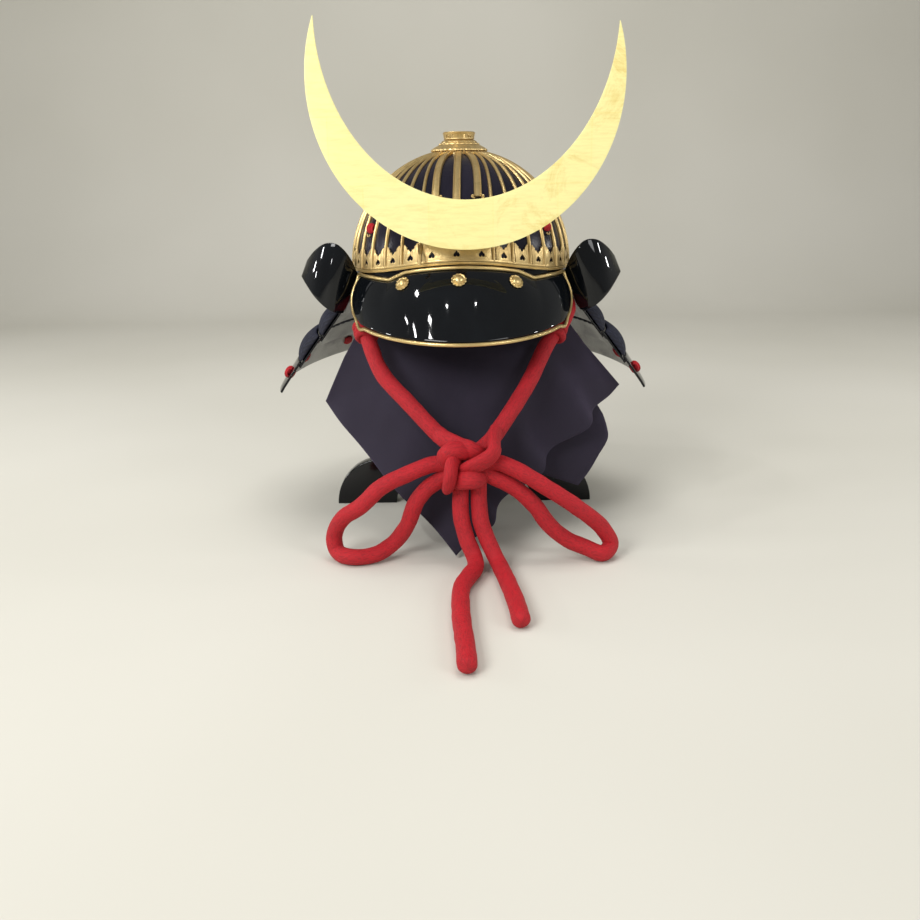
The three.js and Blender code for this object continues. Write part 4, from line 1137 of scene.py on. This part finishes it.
def visor_outline():
    """Line just outside the visor's edge, square to it"""
    reach = GAP + FACET_ROOM + EDGING_RADIUS

    def square_to(edge, direction):
        return (direction - edge * direction.dot(edge)).normalized()

    def outline(around, down):
        inner = clamp(down, 0.01, 0.99)
        across = (visor_point(around + 0.01, down) - visor_point(around - 0.01, down)).normalized()
        along = (visor_point(around, inner + 0.01) - visor_point(around, inner - 0.01)).normalized()
        at = visor_point(around, down)
        if abs(around) == 1:
            at = at + square_to(along, across) * (around * reach)
        if down == 0:
            at.z += reach
        if down == 1:
            at = at + square_to(across, along) * reach
        return at

    top = [outline(-1 + k / 20, 0) for k in range(41)]
    right = [outline(1, (k + 1) / 8) for k in range(7)]
    low = [outline(1 - k / 12, 1) for k in range(25)]
    left = [outline(-1, (7 - k) / 8) for k in range(7)]
    return curve(top + right + low + left, 420, closed=True)


def make_edging():
    bm = new_mesh()
    tube(bm, visor_outline(), wire(1.75), 14, closed=True)
    weld(bm, 0.02)
    face_outwards(bm)
    return settle("visor_gilt_edging", bm, edging_gilt, ["visor_edging"], crease=60)


def make_rivet(name, around):
    """A domed rivet on a petalled washer"""
    at = visor_point(around, RIVET_DOWN)
    normal = normal_of(visor_point, around, RIVET_DOWN)
    seat = facing(at + normal * (VISOR_WALL / 2 + GAP), normal)
    dome = [(RIVET_RADIUS * 0.64 * cos(a), RIVET_RISE * (0.42 + 0.58 * sin(a))) for a in
            (pi / 2 * k / 7 for k in range(8))]
    rings = [(0.01, 0, 0), (6.5, 0, 1), (7.0, 0.35, 1), (6.9, 0.9, 1), (5.9, 1.7, 0.8), (4.9, 1.5, 0.2),
             *((radius, height, 0) for radius, height in dome[:-1]), (0.01, RIVET_RISE, 0)]

    def place(u, v):
        radius, height, share = rings[round(v * (len(rings) - 1))]
        lobe = abs(sin(12 * pi * u)) ** 0.7
        radius -= 0.75 * share * (1 - lobe)
        height += 0.3 * share * lobe
        return seat @ Vector((radius * cos(2 * pi * u), radius * sin(2 * pi * u), height))

    bm = new_mesh()
    mapped(bm, 96, len(rings) - 1, place)
    weld(bm, 0.012)
    face_outwards(bm)
    return settle(name + "_dome", bm, edging_gilt, [name], crease=50)


make_visor()
make_edging()
for rivet_name, rivet_place in (("left", -RIVET_SIDE), ("middle", 0), ("right", RIVET_SIDE)):
    make_rivet("visor_rivet_" + rivet_name, RIVET_SHIFT + rivet_place)


# Neck guard

def spline(points, place):
    """Point of one smooth line through the given ones, at a place counted in points"""
    k = min(int(place), len(points) - 2)
    t = place - k
    a = points[k - 1] if k else 2 * points[0] - points[1]
    b, c = points[k], points[k + 1]
    d = points[k + 2] if k + 2 < len(points) else 2 * c - b
    second, third = 2 * a - 5 * b + 4 * c - d, 3 * b - a - 3 * c + d
    return 0.5 * (2 * b + (c - a) * t + second * t * t + third * t ** 3)


def wing_line(down, side):
    """From the lame's edge out along the wing, at one share of the way down"""
    around = -side
    top, foot = guard_point(around, 0, 0), guard_point(around, TOP_LAME_SHARE, 0)
    level = TOP_LAME_SHARE * down
    line = [guard_point(around * 0.9, level, 0), guard_point(around, level, 0)]
    for out, forward, low, high in WING_COLUMNS:
        height = lerp(top.z + high * WING_TOP_RISE, foot.z + low * WING_LOW_RISE, down)
        bulge = WING_BULGE * sin(pi * clamp(down)) * sin(pi * clamp(out))
        flare = WING_FLARE * out ** 3 * (1 - down)
        line.append(Vector((lerp(top.x, foot.x, down) + side * (out * WING_REACH + flare),
                            top.y - forward * WING_FORWARD - bulge, height)))
    return line


def make_top_lame():
    """The top lame, whose ends turn forward and out as the wings"""
    wing, back = 20, 96
    total = wing * 2 + back

    def place(u, v):
        column = round(u * total)
        down = 1 - v
        if column < wing:
            return spline(wing_line(down, 1), 1 + 5 * (1 - column / wing))
        if column > wing + back:
            return spline(wing_line(down, -1), 1 + 5 * (column - wing - back) / wing)
        return guard_point(2 * (column - wing) / back - 1, TOP_LAME_SHARE * down, 0)

    bm = new_mesh()
    mapped(bm, total, 14, place, (500, 45))
    piece = settle("wing_lame", bm, lacquer, ["lame_top"], crease=60)
    soften(thicken(piece, LAME_WALL), 0.5)


def make_lames():
    for name, (k, top, bottom) in LAMES.items():
        bm = new_mesh()
        mapped(bm, 128, 8, lambda u, v: guard_point(2 * u - 1, lerp(bottom, top, v), lame_out(k)), (550, 40))
        piece = settle(name + "_plate", bm, [lacquer, silver], [name], crease=60)
        soften(thicken(piece, LAME_WALL, inner=1), 0.5)


def make_lacings():
    """Rows of upright braids, laid close side by side"""
    for name, (k, top, bottom) in LACINGS.items():
        seat = lame_out(k) + LAME_WALL / 2 + GAP + FACET_ROOM + 0.8
        count = BRAIDS[name]
        columns = count * 6

        def place(u, v):
            end = min(1, min(u, 1 - u) * count)
            rise = sin(pi * v) ** 0.7 * math.sqrt(end) if 0 < v < 1 else 0
            phase = (u * count) % 1 if u < 1 else 0
            round_back = math.sqrt(max(0, sin(pi * phase)))
            sway = 0.0016 * noise.noise(Vector((u * 60, v * 2, 5.2)))
            out = seat + (LACING_BULGE + BRAID_RISE) * rise + 1.5 * round_back * (0.35 + 0.65 * rise)
            return guard_point(clamp(2 * u - 1 + sway * rise, -1, 1), lerp(bottom, top, v), out)

        bm = new_mesh()
        mapped(bm, columns, 12, place, (count, 8))
        piece = settle(name + "_braids", bm, braid, [name], crease=80)
        thicken(piece, BRAID_WALL)


def make_guard_knots():
    outside = lame_out(3) + LAME_WALL / 2 + GAP
    number = 0
    for angle in KNOT_ANGLES:
        for around in (angle / GUARD_LOW_ANGLE, -angle / GUARD_LOW_ANGLE):
            number += 1
            at = guard_point(around, KNOT_LEVEL, outside)
            normal = outward(guard_point, around, KNOT_LEVEL)
            bm = new_mesh()
            silk_knot(bm, facing(at, normal), 5, 10, 11.5, 4.6)
            inside = guard_point(around, KNOT_LEVEL, lame_out(3) - LAME_WALL / 2 - 0.2)
            silk_knot(bm, facing(inside, -normal), 4, 11, 10, 3)
            close_up(bm)
            settle(f"guard_silk_knot_{number}", bm, knot_silk, [f"guard_knot_{number}"],
                   crease=60)


def make_inner_stitches():
    """Where the braids come through: short dashes on the inside of a lame"""
    dash = ((-4.6, -1.6, -0.3), (-2.6, 0.2, 1.4), (0, 0.9, 2.0), (2.6, 0.2, 1.4), (4.6, -1.6, -0.3))
    bm = new_mesh()
    for n in range(STITCHES):
        around = -0.97 + 1.94 * (n + 0.5) / STITCHES
        at = guard_point(around, STITCH_LEVEL, lame_out(STITCHED_LAME) - LAME_WALL / 2 - 0.1)
        frame_of = facing(at, -outward(guard_point, around, STITCH_LEVEL))
        line = curve([frame_of @ Vector(point) for point in dash], 8)
        tube(bm, line, lambda angle, share: (2.6 * cos(angle), 1.0 * sin(angle)), 6,
             side=frame_of.to_3x3() @ Vector((0, 1, 0)))
    close_up(bm)
    settle("inner_stitches", bm, braid, crease=60)


make_top_lame()
make_lames()
make_lacings()
make_guard_knots()
make_inner_stitches()


# Crest, stand and cloth

def make_crest():
    """Flat crescent between two curves that meet at its tips"""
    outer_middle = CREST_BOTTOM + CREST_HALF_HEIGHT
    inner_middle = CREST_BOTTOM + CREST_DEPTH + CREST_INNER_HEIGHT

    def half(width, rise, middle, z):
        return width * math.sqrt(max(0, 1 - ((z - middle) / rise) ** 2))

    low, high = outer_middle, outer_middle + CREST_HALF_HEIGHT
    for _ in range(40):
        z = (low + high) / 2
        wide = half(CREST_HALF_WIDTH, CREST_HALF_HEIGHT, outer_middle, z)
        if wide > half(CREST_INNER_WIDTH, CREST_INNER_HEIGHT, inner_middle, z) + 0.4:
            low = z
        else:
            high = z
    tip = low

    def arc(width, rise, middle, share):
        end = math.asin(clamp((tip - middle) / rise, -1, 1))
        angle = lerp(-pi - end, end, share)
        return Vector((width * cos(angle), 0, middle + rise * sin(angle)))

    lean = Matrix.Rotation(radians(-CREST_LEAN), 4, "Y")

    def place(u, v):
        outer = arc(CREST_HALF_WIDTH, CREST_HALF_HEIGHT, outer_middle, u)
        inner = arc(CREST_INNER_WIDTH, CREST_INNER_HEIGHT, inner_middle, u)
        at = outer.lerp(inner, v)
        at.z -= outer_middle
        return lean @ at + Vector((CREST_SHIFT, -CREST_PLANE, outer_middle))

    bm = new_mesh()
    mapped(bm, 160, 8, place, (600, 40))
    piece = settle("crest_leaf", bm, leaf_gold, ["crest"], crease=60)
    soften(thicken(piece, CREST_THICK), 0.35, 3)


def bezier(a, b, c, d, steps):
    """Points after the first of a curve with two handles"""
    points = []
    for k in range(1, steps + 1):
        t = k / steps
        s = 1 - t
        points.append(tuple(s ** 3 * p + 3 * s * s * t * q + 3 * s * t * t * r + t ** 3 * w
                            for p, q, r, w in zip(a, b, c, d)))
    return points


def make_board(name, half, slot_from, slot_to, upright):
    """A stand board: lobed feet, an arch and a slot for the other board"""
    slot = STAND_BOARD / 2 + GAP
    inner = half - STAND_FOOT
    shoulder = max(STAND_NECK, half - 42)
    outline = [(half, 0)] + bezier((half, 0), (half, STAND_LOBE * 0.45), (half - 14, STAND_LOBE * 0.9),
                                   (shoulder, STAND_LOBE), 14)
    outline.append((STAND_NECK, STAND_TOP))
    if slot_to == STAND_TOP:
        outline += [(slot, STAND_TOP), (slot, slot_from), (-slot, slot_from), (-slot, STAND_TOP)]
    outline.append((-STAND_NECK, STAND_TOP))
    outline.append((-shoulder, STAND_LOBE))
    outline += bezier((-shoulder, STAND_LOBE), (-half + 14, STAND_LOBE * 0.9), (-half, STAND_LOBE * 0.45),
                      (-half, 0), 14)
    outline.append((-inner, 0))
    outline += bezier((-inner, 0), (-inner, STAND_ARCH * 0.5), (-slot * 4, STAND_ARCH), (-slot, STAND_ARCH),
                      14)
    if slot_to != STAND_TOP:
        outline += [(-slot, slot_to), (slot, slot_to)]
    outline.append((slot, STAND_ARCH))
    outline += bezier((slot, STAND_ARCH), (slot * 4, STAND_ARCH), (inner, STAND_ARCH * 0.5), (inner, 0),
                      14)[:-1]
    outline.append((inner, 0))
    kept = [p for k, p in enumerate(outline) if math.dist(p, outline[k - 1]) > 0.01]
    bm = flat_shape([kept], STAND_BOARD, 1.2, 3)
    bmesh.ops.rotate(bm, cent=(0, 0, 0), matrix=Matrix.Rotation(pi / 2, 3, "X"), verts=bm.verts)
    if upright:
        bmesh.ops.rotate(bm, cent=(0, 0, 0), matrix=Matrix.Rotation(pi / 2, 3, "Z"), verts=bm.verts)
    face_outwards(bm)
    settle(name + "_lacquer", bm, stand_lacquer, [name], crease=30)


def make_block():
    bm = new_mesh()
    dome = [(BLOCK_TOP_RADIUS + (BLOCK_RADIUS - BLOCK_TOP_RADIUS) * cos(pi / 2 * k / 12),
             lerp(BLOCK_SHOULDER, BLOCK_TOP, sin(pi / 2 * k / 12))) for k in range(13)]
    spun(bm, [(0, STAND_TOP + GAP), (STAND_NECK, STAND_TOP + GAP), (BLOCK_RADIUS, STAND_TOP + 20), *dome,
              (0, BLOCK_TOP)], 72, closed=False)
    return settle("head_block_dome", bm, stand_lacquer, ["head_block"])


def make_cloth():
    bm = new_mesh()
    mapped(bm, 120, 120, lambda u, v: cloth_point(1 - v, u), (CLOTH_SIDE, CLOTH_SIDE))
    edge = curve(((128, -46, 130), (96, -70, 112), (66, -88, 88), (48, -98, 70)), 24)
    outer = curve(((142, -50, 107), (145, -55, 97), (146, -60, 86), (135, -70, 70), (125, -78, 55),
                   (114, -84, 42)), 24)

    def rear(u, v):
        at = edge[round(u * 24)].lerp(outer[round(u * 24)], v)
        at.y += 2.5 * sin(5 * u + 2.5 * v) * v
        return at

    mapped(bm, 24, 10, rear, (100, 40))
    piece = settle("hung_cloth", bm, cloth_look, ["cloth"], crease=80)
    thicken(piece, CLOTH_WALL)
    return piece


make_crest()
slot_middle = (STAND_ARCH + STAND_TOP) / 2
make_board("stand_board_front", STAND_HALF_WIDTH, slot_middle - GAP / 2, STAND_TOP, False)
make_board("stand_board_side", STAND_HALF_DEPTH, STAND_ARCH, slot_middle + GAP / 2, True)
block = make_block()
cloth = make_cloth()
post = bpy.data.objects[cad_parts["crest_post"].name]
post.material_slots[0].material = gilt


# Floor and lights

def make_floor():
    """A pale floor that curves up into a wall behind"""
    bm = new_mesh()
    bend = 0.5
    line = [(-2.2, 0.0), (1.4, 0.0)]
    line += [(1.4 + bend * sin(pi / 2 * k / 12), bend * (1 - cos(pi / 2 * k / 12))) for k in range(1, 13)]
    line.append((1.4 + bend, 3.2))

    def place(u, v):
        y, z = line[round(v * (len(line) - 1))]
        return Vector(((u - 0.5) * 6, y, z))

    mapped(bm, 1, len(line) - 1, place)
    mesh = bpy.data.meshes.new("floor")
    bm.to_mesh(mesh)
    bm.free()
    mesh.shade_smooth()
    floor = bpy.data.objects.new("floor", mesh)
    bpy.context.collection.objects.link(floor)
    material, tree, shader = new_material("pale_floor", Roughness=0.8)
    cloud = noise_of(tree, surface_coords(tree), 1.6, 2.0)
    tree.links.new(blended(tree, spread_out(tree, cloud, 0.3, 0.7), rgb(198, 195, 184), rgb(205, 202, 192)),
                   shader.inputs["Base Color"])
    mesh.materials.append(material)


def add_light(name, place, aim, size, power, mirrored=True):
    data = bpy.data.lights.new(name, "AREA")
    data.shape = "RECTANGLE"
    data.size, data.size_y = size
    data.energy = power
    light = bpy.data.objects.new(name, data)
    light.location = place
    light.visible_glossy = mirrored
    light.rotation_euler = (Vector(aim) - Vector(place)).to_track_quat("-Z", "Y").to_euler()
    bpy.context.collection.objects.link(light)


make_floor()
world = bpy.data.worlds.new("studio")
world.use_nodes = True
world.node_tree.nodes["Background"].inputs[0].default_value = rgb(226, 226, 222)
world.node_tree.nodes["Background"].inputs[1].default_value = 0.36
bpy.context.scene.world = world
bpy.context.scene.view_settings.view_transform = "Standard"
add_light("key", (-1.2, -1.7, 1.35), (0, 0, 0.25), (1.0, 0.7), 31)
add_light("fill", (1.5, -1.5, 1.1), (0, 0, 0.25), (0.9, 0.7), 12)
add_light("top", (0.1, 0.2, 2.0), (0, 0, 0.2), (1.6, 1.0), 19, mirrored=False)
# Small ceiling lamps, seen as glints in the lacquer: place, width and height, power
LAMPS = (
    ((-1.0, -0.27, 1.51), (0.1, 0.06), 2.2), ((-0.8, -0.7, 1.51), (0.08, 0.05), 1.6),
    ((-1.26, -0.35, 1.25), (0.09, 0.02), 0.8), ((-1.14, -0.53, 1.31), (0.09, 0.02), 0.8),
    ((-0.81, -0.78, 1.45), (0.09, 0.04), 1.2), ((-0.37, -0.75, 1.67), (0.05, 0.03), 0.7),
    ((0.35, -0.74, 1.68), (0.035, 0.02), 0.4), ((-1.68, -0.03, 0.68), (0.16, 0.12), 3.0),
    ((-0.76, -1.52, 0.46), (0.06, 0.06), 0.8), ((-1.6, 0.56, 0.48), (0.06, 0.1), 1.2),
    ((-1.7, 0.22, 0.41), (0.05, 0.07), 0.8), ((1.68, -0.03, 0.68), (0.12, 0.1), 2.0),
    ((1.6, 0.56, 0.48), (0.06, 0.1), 1.2),
)
for number, (lamp_place, lamp_size, lamp_power) in enumerate(LAMPS):
    add_light(f"lamp_{number + 1}", lamp_place, (0, 0, 0.23), lamp_size, lamp_power)
